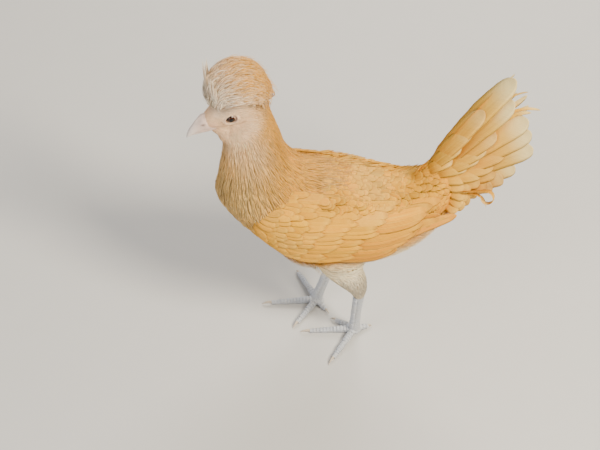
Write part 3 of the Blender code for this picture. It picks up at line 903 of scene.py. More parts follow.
def arm_rings(side, depth):
    """The folded arm on the trunk, as slices."""
    turn = np.arange(24) * math.tau / 24
    rings = []
    for x, middle, half, thick in through(WING_CORE, 30):
        lift = np.sin(turn)
        height = np.where(lift > 0, (thick - depth) * lift, (depth + 3) * lift)
        rings.append(over_bed(np.full(24, x), middle + half * np.cos(turn), side, height)[0])
    return rings


def eye_reach(points):
    """How far points of the head's frame lie from the middle of the eye's opening, with its
    edge at 1; how far from the lids' outer fold; and the place across and up it."""
    x, _, z = points.T
    eye_x, _, eye_z = EYE_AT
    tilt = math.radians(EYE_TILT)
    across = (x - eye_x) * math.cos(tilt) + (z - eye_z) * math.sin(tilt)
    up = -(x - eye_x) * math.sin(tilt) + (z - eye_z) * math.cos(tilt)
    half, high = EYE_OPENING
    reach = np.hypot(across / half, up / high)
    return reach, np.hypot(across / (half + 2.2), up / (high + 2.4)), across, up


def head_relief(points):
    """How far each point of the head's surface stands out, in the head's own frame:
    sockets and lids round the eyes, brows, cheeks, ear lobes and the corner of the mouth."""
    x, y, z = points.T
    eye_x, _, eye_z = EYE_AT
    beside = ease(np.abs(y), 5, 9)
    reach, grown, across, up = eye_reach(points)
    # the socket, then the lids with a fold round them
    rise = -4.2 * (1 - ease(reach, 0.86, 1.08))
    rise += 1.5 * mound((reach - 1.24) / 0.20)
    rise += 0.55 * mound((grown - 1.12) / 0.09)
    rise -= 0.45 * mound((grown - 0.97) / 0.06)
    # the brow, the cheek, the hollow before the eye and the corner of the mouth
    rise += 1.1 * mound((x - eye_x - 1) / 8, (z - eye_z - 7.5) / 2.6)
    rise += 1.0 * mound((x + 3) / 8, (z + 9) / 5)
    rise -= 0.9 * mound((x + 24) / 5, (z - 4) / 4)
    rise -= 0.8 * mound((x + 27) / 5, (z + 5.4 + 0.12 * (x + 27)) / 1.2)
    lobe = 1 - ((x - 5) / 4.4) ** 2 - ((z + 9) / 5.4) ** 2
    rise += 1.5 * np.clip(lobe, 0, 1) ** 0.5
    wrinkle = 0.20 * np.sin(2.3 * across + 0.6 * up) * mound((grown - 1.1) / 0.3)
    return (rise + wrinkle) * beside


def head_object():
    """The head's skin, fine enough for its lids and folds."""
    around, count = 168, 150
    rings, outs = [], []
    for x, z, up, down, half in through(HEAD, count):
        slice_ = ring((x, 0, z), up - 0.5, down - 0.5, half - 0.5, around)
        rings.append(slice_)
        outs.append(unit(slice_ - (x, 0, z)))
    rings, outs = np.array(rings), np.array(outs)
    rise = head_relief(rings.reshape(-1, 3)).reshape(count, around, 1)
    return loft("head_skin", [in_head(r) for r in rings + outs * rise])


def ball_rings(centre, reach):
    """A rounded lump in the head's frame: its centre and its reach each way."""
    rings = []
    for share in np.linspace(-0.98, 0.98, 24):
        wide = math.sqrt(1 - share**2)
        spot = np.array(centre) + (reach[0] * share, 0, 0)
        slice_ = ring(spot, reach[2] * wide, reach[2] * wide, reach[1] * wide, 32)
        rings.append(in_head(slice_))
    return rings


def skin_object(depth):
    """Trunk, neck, rump, arms, thighs and head as one closed surface."""
    solids = [
        loft("trunk", trunk_rings(depth)),
        loft("throat", neck_rings(depth * 0.9)),
        loft("rump", rump_rings(depth * 0.7)),
    ]
    solids += [loft("lump", ball_rings(centre, reach)) for centre, reach in HEAD_LUMPS]
    rows = [(x, z, up - 1, down - 1, half - 1) for x, z, up, down, half in through(HEAD, 40)[1:-1]]
    solids.append(loft("skull", [
        in_head(ring((x, 0, z), up, down, half, 40)) for x, z, up, down, half in rows]))
    for name, side in SIDES:
        solids.append(loft("arm", arm_rings(side, 1.2)))
        solids.append(loft("thigh", thigh_rings(LEGS[name]["thigh"], depth * 0.55)))
    body = grown_together("skin", solids, SKIN_GRAIN, 6)
    return welded(body, head_object())


def bare_share(points):
    """1 where the face is bare: round the eye, the lobe and beside the beak."""
    x, y, z = from_head(points).T
    beside = ease(np.abs(y), 3, 6) * ease(-z, -18, -12)
    eye = mound((x - EYE_AT[0]) / 7.0, (z - EYE_AT[2]) / 5.0)
    gape = 0.8 * mound((x + 31) / 4, (z + 3) / 6)
    return np.clip(ease(eye, 0.2, 0.6) * beside + gape, 0, 1) * ease(-x, -20, -10)


def paint_skin(obj, colours):
    """Writes the skin's colour, and how bare it is, as the attribute tint."""
    points, _ = spots_of(obj.data)
    tint = np.ones((len(points), 4))
    tint[:, :3] = plumage_hues(points, colours)
    tint[:, 3] = bare_share(points)
    tint[:, 3] *= np.linalg.norm(points - HEAD_PLACE, axis=1) < 48
    # bare skin takes a pale pink, darkened along the lids' edge by painted shade in the crease
    # where the lids meet the eyeball
    rim = 1 - 0.72 * mound((eye_reach(from_head(points))[0] - 1.02) / 0.12)[:, None]
    tint[:, :3] = mixed(tint[:, :3], rim * (0.95, 0.87, 0.82), tint[:, 3])
    store(obj.data, "tint", "FLOAT_COLOR", "color", tint)


class Hide:
    """The skin as something to lay feathers on."""

    def __init__(self, obj):
        self.points, out = spots_of(obj.data)
        one, two = fetched(obj.data.edges, "vertices", 2, np.int32).T
        for _ in range(4):
            total = out.copy()
            np.add.at(total, one, out[two])
            np.add.at(total, two, out[one])
            out = unit(total)
        self.out = out
        self.corners = triangles(obj.data)
        self.tree = tree_of(self.points)

    def settle(self, points):
        """The points moved on to the skin, and the way out of it there."""
        near = np.array([self.tree.find(p)[1] for p in points])
        out = self.out[near]
        off = ((points - self.points[near]) * out).sum(1, keepdims=True)
        return points - out * off, out

    def scatter(self, spacing, rng):
        """Even random points on the skin, spacing(points) apart, and none where it is inf."""
        a, b, c = self.points[self.corners].transpose(1, 0, 2)
        area = np.linalg.norm(np.cross(b - a, c - a), axis=1) / 2
        gap = spacing((a + b + c) / 3)
        want = np.where(np.isfinite(gap), area / np.where(np.isfinite(gap), gap, 1) ** 2, 0)
        count = int(want.sum() * 5)
        pick = rng.choice(len(area), count, p=want / want.sum())
        u, v = rng.random((2, count, 1))
        flip = (u + v) > 1
        u, v = np.where(flip, 1 - u, u), np.where(flip, 1 - v, v)
        found = a[pick] + (b - a)[pick] * u + (c - a)[pick] * v
        gap = spacing(found)
        tree = tree_of(found)
        alive, kept = np.isfinite(gap), []
        for k in range(count):
            if not alive[k]:
                continue
            kept.append(k)
            for _, other, _ in tree.find_range(found[k], gap[k]):
                alive[other] = False
        return found[kept]

    def walk(self, starts, heading, lengths, share):
        """Paths over the skin from the starts, with points at the shares of their lengths, and
        the ways out along them. heading(points, outs) gives the lie of the coat."""
        points, outs = [], []
        spot, out = self.settle(starts)
        way = None
        for stride in np.diff(share, append=share[-1]):
            points.append(spot)
            outs.append(out)
            lie = heading(spot, out)
            lie = unit(lie - out * (lie * out).sum(1, keepdims=True))
            way = lie if way is None else unit(0.45 * way + 0.55 * lie)
            spot, out = self.settle(spot + way * (lengths * stride)[:, None])
        return np.stack(points, 1), np.stack(outs, 1)


# Feathers

# Outlines of feathers: share of the length, share of the half width
ROUND = [(0, 0.30), (0.12, 0.58), (0.35, 0.92), (0.62, 1.0), (0.82, 0.86), (0.93, 0.6), (1, 0.2)]
LANCE = [(0, 0.35), (0.2, 0.8), (0.45, 1.0), (0.7, 0.78), (0.88, 0.42), (1, 0.06)]
STRAND = [(0, 0.5), (0.3, 0.9), (0.55, 1.0), (0.8, 0.75), (0.93, 0.4), (1, 0.05)]
FLIGHT = [
    (0, 0.2), (0.08, 0.5), (0.3, 0.85), (0.6, 1.0), (0.8, 0.97), (0.89, 0.87), (0.94, 0.72),
    (0.975, 0.5), (1, 0.12),
]
DOWN = [(0, 0.4), (0.3, 1.0), (0.6, 0.8), (0.85, 0.4), (1, 0.05)]


def fine_tip(steps):
    """Shares along a feather, closest together at its tip."""
    return 1 - (1 - np.linspace(0, 1, steps)) ** 1.7


def feathers(name, spines, outs, halves, outline, thick, camber, hues, chances, places, rng,
             stations=3, ragged=0.07, share=None):
    """One object of closed vanes. spines and outs are feather x step x axis, halves the half
    widths, thick the thickness at the root, camber how far the edges droop as a share of the
    half width, and places the roots' places on OFBake. Every vane carries its tint, its own map
    in vane and wide, and a patch of OFBake. stations is the count of points across its top."""
    count, steps, _ = spines.shape
    along = unit(np.gradient(spines, axis=1))
    across = unit(np.cross(along, outs))
    out = unit(np.cross(across, along))
    share = np.linspace(0, 1, steps) if share is None else share
    width = np.interp(share, *np.array(outline).T)[None, :] * np.asarray(halves)[:, None]
    width = width * (1 + rng.uniform(-ragged, ragged, (count, steps)))
    top = np.linspace(-1, 1, stations)
    around = np.concatenate([top, top[-2:0:-1]])
    under = np.concatenate([np.zeros(stations), np.ones(stations - 2)])
    drop = -camber * around**2
    body = (1 - around**2) * under
    thick = np.asarray(thick, float) * np.ones(count)
    points = (
        spines[:, :, None]
        + across[:, :, None] * (width[..., None] * around)[..., None]
        + out[:, :, None] * (
            width[..., None] * drop - thick[:, None, None] * body * (1.15 - share)[None, :, None]
        )[..., None]
    )
    sides = len(around)
    k, j = np.meshgrid(np.arange(steps - 1), np.arange(sides), indexing="ij")
    a, b = k * sides + j, k * sides + (j + 1) % sides
    walls = np.stack([a, b, b + sides, a + sides], axis=-1).reshape(-1)
    caps = np.concatenate([np.arange(sides)[::-1], np.arange(sides) + (steps - 1) * sides])
    one = np.concatenate([walls, caps])
    corners = [4] * (len(walls) // 4) + [sides, sides]
    faces = (one[None] + (np.arange(count) * steps * sides)[:, None]).ravel()
    made = piece(name, points, faces, np.tile(corners, count))
    vane = np.empty((count, steps, sides, 3))
    vane[..., 0] = around
    vane[..., 1] = share[None, :, None]
    vane[..., 2] = (np.linalg.norm(np.diff(spines, axis=1), axis=2).sum(1) / 10)[:, None, None]
    tint = np.empty((count, steps, sides, 4))
    tint[..., :3] = hues[:, None, None] if hues.ndim == 2 else hues[:, :, None]
    tint[..., 3] = chances[:, None, None]
    patch = (vane[..., :2] * (0.5, 1.0) - (0, 0.5)) * PATCH * 0.95
    bake = np.asarray(places)[:, None, None] + patch
    mesh = made.data
    store(mesh, "vane", "FLOAT_VECTOR", "vector", vane)
    store(mesh, "wide", "FLOAT", "value", np.repeat(width[..., None] / 10, sides, 2))
    store(mesh, "tint", "FLOAT_COLOR", "color", tint)
    order = fetched(mesh.loops, "vertex_index", 1, np.int32).ravel()
    layer = mesh.uv_layers.new(name="OFBake")
    layer.data.foreach_set("uv", bake.reshape(-1, 2)[order].astype(np.float32).ravel())
    return made


def shaded(hues, rng, spread=0.10, warmth=0.03):
    """Each feather a little lighter or darker, and warmer or cooler, than its place asks."""
    light = 1 + rng.normal(0, spread, (len(hues), 1))
    shift = rng.normal(0, warmth, (len(hues), 1)) * (1, 0.2, -1)
    return np.clip(hues * light * (1 + shift), 0.005, 0.95)


def turn_share(y, z):
    """The way round: 0 where z is lowest, 0.5 where it is highest, up her left side first."""
    return np.arctan2(y, z) / math.tau + 0.5


def trunk_map(points):
    """Places on the unwrapped skin: along the hen, and round her from the belly."""
    x, y, z = points.T
    middle = np.interp(x, [-160, -60, 0, 110], [240, 190, 180, 225])
    turn = turn_share(y, z - middle)
    return np.stack([0.02 + 0.96 * (x + 165) / 300, 0.02 + 0.96 * turn], axis=1)


def neck_map(points):
    """Places on the neck's skin: down the neck, and round it."""
    _, y, z = points.T
    turn = turn_share(y, neck_side(points) * NECK_HALF)
    return np.stack([0.02 + 0.96 * turn, 0.02 + 0.96 * (z - 170) / 190], axis=1)


def head_map(points):
    """Places on the head's skin: from beak to nape, and round the head."""
    x, y, z = from_head(points).T
    turn = turn_share(y, z - 1)
    return np.stack([0.03 + 0.94 * (x + 42) / 90, 0.02 + 0.96 * turn], axis=1)


def coat_lie(points):
    """The lie of the coat: back from the beak, down the neck, back over the trunk and
    down the thighs."""
    x, y, z = points.T
    lie = np.tile((1.0, 0.0, -0.10), (len(points), 1))
    lie = mixed(lie, (0.86, 0.0, 0.50), ease(x, 40, 96) * ease(z, 180, 215))
    lie = mixed(lie, (1.0, 0.0, 0.22), ease(-z, -150, -125))
    front = ease(-x, 96, 140)
    lie = mixed(lie, (0.42, 0.0, -1.0), front)
    neck = ease(z - 0.5 * (x + 60), 214, 246) * ease(-x, 34, 60)
    down = np.stack([0.30 + 0.22 * neck_side(points), 0.0 * x, -np.ones(len(x))], axis=1)
    lie = mixed(lie, down, neck)
    head = from_head(points)
    near = ease(-np.linalg.norm(head - (-6, 0, -2), axis=1), -42, -26)
    chin = ease(-head[:, 2], 3, 13) * ease(-head[:, 0], -4, 14)
    back = mixed((0.95, 0.0, -0.30), (0.35, 0.0, -1.0), chin) @ head_turn().T
    lie = mixed(lie, back, near)
    thigh = ease(-z, -124, -112)
    return mixed(lie, (0.16, 0.0, -1.0), thigh * ease(np.abs(y), 6, 14))


def under_wing(points):
    """True where a wing hides the skin."""
    x, y, z = points.T
    centre, up, down, half = bed_slice(x)
    rise = z - centre
    angle = np.degrees(np.arctan2(np.abs(y) / half, rise / np.where(rise > 0, up, down)))
    return (x > -96) & (x < 62) & (angle > 54) & (angle < 100) & (z > 120)


def beside_wing(points):
    """1 along the wing's upper edge, where the shoulder feathers lap over it."""
    x, y, z = points.T
    centre, _, _, half = bed_slice(x)
    angle = np.degrees(np.arctan2(np.abs(y) / half, (z - centre) / 58))
    return mound((angle - 42) / 13) * ease(x, -110, -80) * ease(-x, -70, -30)


def in_thigh(points):
    """True where the thighs' own feathers grow."""
    _, y, z = points.T
    return (z < 116 + 9 * ease(np.abs(y), 20, 30)) & (np.abs(y) > 9)


def head_distance(points):
    """How many millimetres the points lie from the middle of the head."""
    return np.linalg.norm(from_head(points) - (-4, 0, 0), axis=1)


def laid_coat(context, name, offset, spacing, size, outline, heights, place_map,
              steps, thick, jitter, spread, stations=3, camber=0.16, share=None):
    """Feathers of one tract, laid over the skin along the lie of the coat. spacing(points)
    gives the gap between roots, size(points) length and half width, heights the lift at the
    root and a function for the lift at the tip, and jitter the spread of turns in degrees."""
    share = np.linspace(0, 1, steps) if share is None else share
    hide, rng = hide_of_hen(), draws(context, offset)
    starts = hide.scatter(spacing, rng)
    length, half = size(starts)
    wide = 1 + rng.normal(0, 0.10, len(starts))
    length = length * (1 + rng.normal(0, 0.09, len(starts)))
    turn = np.radians(rng.normal(0, jitter, len(starts)))

    def heading(points, outs):
        lie = coat_lie(points)
        aside = np.cross(outs, lie)
        return lie * np.cos(turn)[:, None] + aside * np.sin(turn)[:, None]

    spines, outs = hide.walk(starts, heading, length, share)
    root, tip = heights
    lift = root + (tip(starts)[:, None] - root) * share**0.75
    lift = lift + rng.uniform(-0.35, 0.35, (len(starts), 1)) * share
    spines = spines + outs * lift[..., None]
    hues = shaded(plumage_hues(starts, context.scene.hen_colours), rng, spread)
    return feathers(
        name, spines, outs, half * wide, outline, thick, camber, hues, rng.random(len(starts)),
        place_map(starts), rng, stations, share=share)


def on_crest(points, layer):
    """Points drawn on to the crest, layer over it, and the way out of it there. It is a dome
    whose wall hangs straight down below its widest line, and steps in a little behind."""
    reach = CREST_REACH + np.asarray(layer)[..., None]
    local = (points - CREST_AT) / reach
    hang = np.minimum(local[..., 2:], 0)
    flat = local * (1, 1, 0)
    spot = np.where(hang < 0, unit(flat), unit(local))
    out = unit(spot / reach)
    return CREST_AT + (spot + hang * (0, 0, 1)) * reach + hang * (1.5, 0, 0), out


def in_dome(points):
    """The points' x, y and z as shares of the crest's reach from its middle."""
    return np.moveaxis((points - CREST_AT) / CREST_REACH, -1, 0)


def crest_flow(points, outs):
    """The sweep of the crest: up from the brow, back over the crown, down behind it."""
    x, y, _ = in_dome(points)
    climb = 1.5 * ease(-x, 0.05, 0.95) - 1.2 * ease(x, 0.25, 1.0) - 0.16 * np.abs(y)
    flow = np.stack([np.ones(x.shape), 0.35 * y * ease(-x, -0.2, 0.9), climb], axis=-1)
    return unit(flow - outs * (flow * outs).sum(-1, keepdims=True))


def crest_rim(points):
    """How many millimetres each point of the dome lies above the crest's rim."""
    x, y, z = in_dome(points)
    front, sides, back = CREST_DROOP
    reach = np.hypot(x, y) + 1e-6
    droop = sides + (back - sides) * ease(x / reach, -0.4, 0.7)
    droop += (front - sides) * ease(-x / reach, 0.4, 1)
    return (np.arctan2(z, reach) + np.radians(droop)) * CREST_REACH[2]


def crest_hues(points, colours, rng, spread):
    """Pale at the front and the sides near the face, warm buff towards the back, in streaks."""
    place = points[:, 0] + 0.35 * points[:, 2] + rng.normal(0, 7, len(points))
    hues = mixed(colours.crest, colours.warm, ease(place, -6, 56))
    return shaded(hues, rng, spread)


# The operators

HIDES = {}


def hide_of_hen():
    """The skin to lay feathers on, read once."""
    if "skin" not in HIDES:
        found = bpy.data.objects.get("skin")
        if found is None:
            raise RuntimeError("make the skin before its feathers")
        HIDES["skin"] = Hide(found)
    return HIDES["skin"]


def draws(context, offset):
    """The random draws of one piece, the same in every run."""
    return np.random.default_rng(context.scene.hen_coat.seed * 100 + offset)


def coat_finish(context, name):
    """The plumage's material, made once and shared by the pieces that ask for it."""
    made = bpy.data.materials.get(name)
    if made:
        return made
    colours = context.scene.hen_colours
    # the edges' colour, and how strong edge, streaks, shaft, outline and the painted shade at the
    # root are
    looks = {
        "laced_feathers": (colours.edge, 0.5, 0.5, 0.3, 0.45, 0.35),
        "streaked_hackle": (colours.cream, 0.35, 0.5, 0.4, 0.0, 0.3),
        "soft_down": (colours.cream, 0.35, 0.3, 0.1, 0.0, 0.2),
        "face_feathers": (colours.cream, 0.25, 0.4, 0.1, 0.0, 0.2),
        "crest_strands": (colours.cream, 0.5, 0.4, 0.35, 0.0, 0.12),
        "wing_feathers": (colours.edge, 0.45, 0.6, 0.5, 0.4, 0.35),
        "tail_feathers": (colours.edge, 0.35, 0.5, 0.4, 0.3, 0.3),
    }
    return plumage_finish(name, *looks[name])


class HEN_OT_skin(bpy.types.Operator):
    """Make the hen's skin, one surface under all her feathers"""

    bl_idname = "hen.skin"
    bl_label = "Skin"

    def execute(self, context):
        colours = context.scene.hen_colours
        skin = skin_object(context.scene.hen_coat.depth / MM)
        skin.name = "skin"
        paint_skin(skin, colours)
        finish_piece(skin, skin_finish(colours), "pale_plumage", "torso", "neck", "head",
                     "thigh_left", "thigh_right")
        HIDES.clear()
        return {"FINISHED"}


def eye_object(name, side):
    """An eyeball with a raised cornea, and its own map round the way it looks."""
    rings, around = 26, 40
    polar = np.linspace(0.02, math.pi - 0.02, rings)
    turn = np.arange(around) * math.tau / around
    bulge = 1 + 0.075 * (1 - ease(polar, 0.30, 0.72))
    local = np.stack([
        np.sin(polar)[:, None] * np.cos(turn),
        np.sin(polar)[:, None] * np.sin(turn),
        np.cos(polar)[:, None] * np.ones(around),
    ], axis=-1) * (bulge[:, None, None] * EYE_RADIUS)
    centre = np.array(EYE_AT) * (1, side, 1)
    placed = local[..., [0, 2, 1]] * (1, side, 1) + centre
    made = loft(name, [in_head(r) for r in placed])
    points, _ = spots_of(made.data)
    gaze = (from_head(points) - centre)[:, [0, 2, 1]] * (1, 1, side) / EYE_RADIUS
    gaze[:, :2] *= 1.35
    store(made.data, "gaze", "FLOAT_VECTOR", "vector", gaze)
    return made


def beak_half(name, rows, up):
    """One half of the beak, arched away from the line of the mouth, keeled and nostrilled."""
    count, around = 60, 44
    line = np.array(MOUTH)
    rings = []
    for x, reach, half in through(rows, count):
        z = np.interp(x, line[:, 0], line[:, 1])
        if up:
            rings.append(ring((x, 0, z), reach, 0.45, half, around))
        else:
            rings.append(ring((x, 0, z - 1.1), 0.45, reach, half, around))
    rings = np.array(rings)
    if up:
        x, y, z = np.moveaxis(rings, -1, 0)
        at_x, _, at_z = NOSTRIL_AT
        flap = 2.3 * mound((x - at_x) / 5.2, (z - at_z - 1.4) / 4.4)
        slit = 2.2 * mound((x - at_x + 0.6) / 2.6, (z - at_z + 0.6) / 0.95)
        side = ease(np.abs(y), 2.0, 5.0)
        rings[..., 1] += np.sign(y) * (flap - slit) * side
        rings[..., 2] += 0.9 * mound(y / 1.6) * ease(z, 2.0, 8.0)
    made = loft(name, [in_head(r) for r in rings])
    # painted shade in the nostril's slit, where it sinks into the beak
    x, y, z = (from_head(spots_of(made.data)[0]) - np.array(NOSTRIL_AT) * (1, 0, 1)).T
    slit = mound((x + 0.6) / 2.4, (z + 0.6) / 0.9) * (np.abs(y) > 2)
    pit = np.tile((slit if up else 0 * slit)[:, None], 4)
    store(made.data, "pit", "FLOAT_COLOR", "color", pit)
    return made


class HEN_OT_features(bpy.types.Operator):
    """Make the eyes and the two halves of the beak"""

    bl_idname = "hen.features"
    bl_label = "Eyes and beak"

    def execute(self, context):
        colours = context.scene.hen_colours
        eye = eye_finish(colours)
        for name, side in SIDES:
            finish_piece(eye_object("eyeball_" + name, side), eye, "eye", "eye_" + name)
        horn = horn_finish("beak_horn", colours.beak, tone(240, 230, 220), 0, -0.165, -0.192)
        finish_piece(beak_half("upper_beak", UPPER_BEAK, True), horn, "beak", "beak_upper")
        finish_piece(beak_half("lower_beak", LOWER_BEAK, False), horn, "beak", "beak_lower")
        return {"FINISHED"}


class HEN_OT_face_feathers(bpy.types.Operator):
    """Lay the smallest feathers on the face and cheeks"""

    bl_idname = "hen.face_feathers"
    bl_label = "Face feathers"

    def execute(self, context):
        base = context.scene.hen_coat.face_length / MM

        def rising(points):
            """1 under the crest's rim, where the feathers grow long and lift."""
            x, _, z = from_head(points).T
            return ease(z - 0.25 * x, 14, 21) * ease(x, -22, -8)

        def spacing(points):
            x, _, z = from_head(points).T
            gap = 0.74 + 0.5 * ease(x, -8, 24) + 0.2 * ease(-z, 6, 16)
            covered = (z > 26) & (x > -12)
            away = (head_distance(points) > 34) | covered | (x < -37) | (x > 30)
            eye_x, _, eye_z = EYE_AT
            half, high = EYE_BARE
            near_eye = ((x - eye_x + 1.2) / half) ** 2 + ((z - eye_z) / high) ** 2 < 1
            return np.where(away | near_eye, np.inf, gap)

        def size(points):
            x, _, z = from_head(points).T
            grow = 0.75 + 1.5 * ease(x, -14, 24) + 0.5 * ease(-z, 4, 18)
            return base * (grow + 2.2 * rising(points)), 0.36 * grow ** 0.8

        def tip_lift(points):
            back = ease(from_head(points)[:, 0], -10, 24)
            return 0.42 + 0.35 * back + 3.2 * rising(points)

        made = laid_coat(
            context, "face_feathers", 1, spacing, size, LANCE, (-0.2, tip_lift), head_map,
            steps=4, thick=0.12, jitter=7, spread=0.05)
        finish_piece(made, coat_finish(context, "face_feathers"), "pale_plumage")
        return {"FINISHED"}


class HEN_OT_hackle(bpy.types.Operator):
    """Lay the narrow feathers of the neck"""

    bl_idname = "hen.hackle"
    bl_label = "Neck hackle"

    def execute(self, context):
        long = context.scene.hen_coat.hackle_length / MM

        def down_neck(points):
            return ease(-points[:, 2], -332, -236)

        def from_face(points):
            return ease(head_distance(points), 26, 62)

        def spacing(points, upper):
            x, y, z = points.T
            gap = 1.12 + 0.2 * from_face(points) + 0.68 * down_neck(points)
            throat = ease(-neck_side(points), 0.2, 1.0)
            collar = 204 + 14 * throat - 8 * ease(np.abs(y), 20, 44)
            inside = (z > collar) & (x < -34) & (head_distance(points) > 22)
            head_x = from_head(points)[:, 0]
            face = (head_distance(points) < 34) & (head_x < 12)
            split = z + 0.4 * (x + 110) > 272
            return np.where(inside & ~face & (split == upper), gap, np.inf)

        def size(points):
            grow = down_neck(points) * from_face(points) ** 0.6
            small = 5.0 + 4.0 * from_face(points)
            return small + (long - small) * grow, 0.56 + 0.66 * grow

        for number, name in enumerate(("upper_hackle", "cape_hackle")):
            made = laid_coat(
                context, name, 2 + 40 * number, lambda p: spacing(p, number == 0), size, LANCE,
                (-0.4, lambda p: 0.6 + 1.1 * down_neck(p) * from_face(p)), neck_map,
                steps=6, thick=0.12, jitter=5, spread=0.10, camber=0.08)
            finish_piece(made, coat_finish(context, "streaked_hackle"), "pale_plumage")
        return {"FINISHED"}


class HEN_OT_body_feathers(bpy.types.Operator):
    """Lay the rounded feathers of breast, back and rump"""

    bl_idname = "hen.body_feathers"
    bl_label = "Breast, back and rump"

    def execute(self, context):
        length = context.scene.hen_coat.body_length / MM
        steps = 7

        def on_trunk(points):
            x, _, z = points.T
            neck = (z > 222) & (x < -50)
            return ~neck & ~in_thigh(points) & ~under_wing(points) & (head_distance(points) > 44)

        def spacing(points):
            x, _, z = points.T
            gap = 4.2 - 0.6 * ease(-x, 96, 140) + 0.7 * ease(x, 30, 95) - 1.5 * ease(x, 88, 99)
            return np.where(on_trunk(points) & (z > 132), gap, np.inf)

        def size(points):
            x = points[:, 0]
            grow = 1.06 - 0.16 * ease(-x, 96, 140) + 0.6 * ease(x, 30, 95)
            return length * grow, 5.1 * (1 - 0.15 * ease(-x, 96, 140) + 0.08 * ease(x, 40, 100))

        def tip_lift(points):
            return 1.5 + 4.3 * beside_wing(points) + 1.5 * ease(points[:, 0], 30, 95)

        made = laid_coat(
            context, "body_feathers", 3, spacing, size, ROUND, (-0.6, tip_lift), trunk_map,
            steps=steps, thick=0.2, jitter=6, spread=0.09, stations=5, share=fine_tip(steps))
        finish_piece(made, coat_finish(context, "laced_feathers"), "plumage")
        return {"FINISHED"}


class HEN_OT_down(bpy.types.Operator):
    """Lay the loose down of the belly and vent, and the small feathers of the thighs"""

    bl_idname = "hen.down"
    bl_label = "Belly and thighs"

    def execute(self, context):
        def belly_side(points):
            x, y, _ = points.T
            return ease(np.abs(y), 14, 28) * ease(x, -96, -72) * ease(-x, 26, 46)

        def belly_gap(points):
            x, _, z = points.T
            low = (z < 150) | ((x > 40) & (z < 182 + 12 * ease(x, 74, 98)))
            return np.where(low & ~in_thigh(points) & (x > -128) & ~under_wing(points), 1.8, np.inf)

        def belly_size(points):
            x = points[:, 0]
            return 13.0 + 5.0 * ease(x, 10, 70) + 7.0 * ease(x, 76, 98), np.full(len(x), 0.68)

        def belly_lift(points):
            x = points[:, 0]
            back = 3.4 + 2.4 * ease(x, 0, 50) + 3.0 * ease(x, 70, 95)
            return back + 3.0 * belly_side(points)

        belly = laid_coat(
            context, "belly_down", 4, belly_gap, belly_size, DOWN, (-0.3, belly_lift), trunk_map,
            steps=6, thick=0.2, jitter=9, spread=0.05, camber=0.12)
        finish_piece(belly, coat_finish(context, "soft_down"), "pale_plumage")

        def thigh_gap(points):
            gap = 1.15 + 0.4 * ease(points[:, 2], 84, 112)
            return np.where(in_thigh(points), gap, np.inf)

        def thigh_size(points):
            high = ease(points[:, 2], 76, 110)
            return 6.6 + 4.6 * high, 0.65 + 0.25 * high

        thigh = laid_coat(
            context, "thigh_feathers", 5, thigh_gap, thigh_size, LANCE,
            (-0.3, lambda p: 0.5 + 0.4 * ease(p[:, 2], 74, 110)), trunk_map,
            steps=5, thick=0.12, jitter=5, spread=0.04, camber=0.08)
        finish_piece(thigh, coat_finish(context, "soft_down"), "pale_plumage")
        return {"FINISHED"}


def crest_roots(count, rng):
    """Roots spread evenly over the crest's dome, above its rim."""
    number = np.arange(count) + rng.uniform(-0.4, 0.4, count)
    height = 1 - 2 * np.clip((number + 0.5) / count, 0, 1)
    turn = number * math.pi * (3 - math.sqrt(5))
    wide = np.sqrt(1 - height**2)
    spots = np.stack([wide * np.cos(turn), wide * np.sin(turn), height], axis=1)
    roots = CREST_AT + spots * CREST_REACH
    return roots[crest_rim(roots) > 0.5]


def crest_sweep(roots, lengths, heights, sway, steps):
    """Paths from the roots along the crest's sweep, rising between the heights given."""
    points, outs = [], []
    spot = roots
    for k in range(steps):
        share = k / (steps - 1)
        layer = heights[0] * (1 - share) ** 1.6 + heights[1] * (1 - (1 - share) ** 1.6)
        place, out = on_crest(spot, layer)
        points.append(place)
        outs.append(out)
        flow = crest_flow(place, out)
        flow = unit(flow + np.cross(out, flow) * (sway * (0.4 + share))[:, None])
        spot = place + flow * (lengths / (steps - 1))[:, None]
    return np.stack(points, 1), np.stack(outs, 1)


# Layers of the crest's two pieces, deepest first: roots over the whole ball, half width, length,
# height over the dome, sway
CREST_LAYERS = {
    "inner_crest": [(900, 2.2, 20, 0.0, 0.05), (1500, 1.15, 21, 1.0, 0.06)],
    "outer_crest": [(3000, 0.62, 20, 1.5, 0.08)],
}


class HEN_OT_crest(bpy.types.Operator):
    """Make the crest, feather by feather, with its loose wisps and curls"""

    bl_idname = "hen.crest"
    bl_label = "Crest"

    def execute(self, context):
        colours = context.scene.hen_colours
        steps = 10
        for number, (name, layers) in enumerate(CREST_LAYERS.items()):
            rng = draws(context, 6 + 50 * number)
            parts = [crest_layer(*layer, steps, rng) for layer in layers]
            if name == "inner_crest":
                parts.append(crest_wisps(steps, rng))
            spines, outs, halves, roots = (np.concatenate([p[k] for p in parts]) for k in range(4))
            turn = turn_share(roots[:, 1], roots[:, 0] - CREST_AT[0])
            high = np.clip((roots[:, 2] - CREST_AT[2]) / CREST_REACH[2] * 0.5 + 0.5, 0, 1)
            places = np.stack([0.02 + 0.96 * turn, 0.02 + 0.96 * high], axis=1)
            made = feathers(
                name, in_head(spines), outs @ head_turn().T, halves, STRAND, 0.24, 0.2,
                crest_hues(spines[:, steps // 2], colours, rng, 0.07),
                rng.random(len(halves)), places, rng)
            finish_piece(made, coat_finish(context, "crest_strands"), "pale_plumage", "crest")
        return {"FINISHED"}


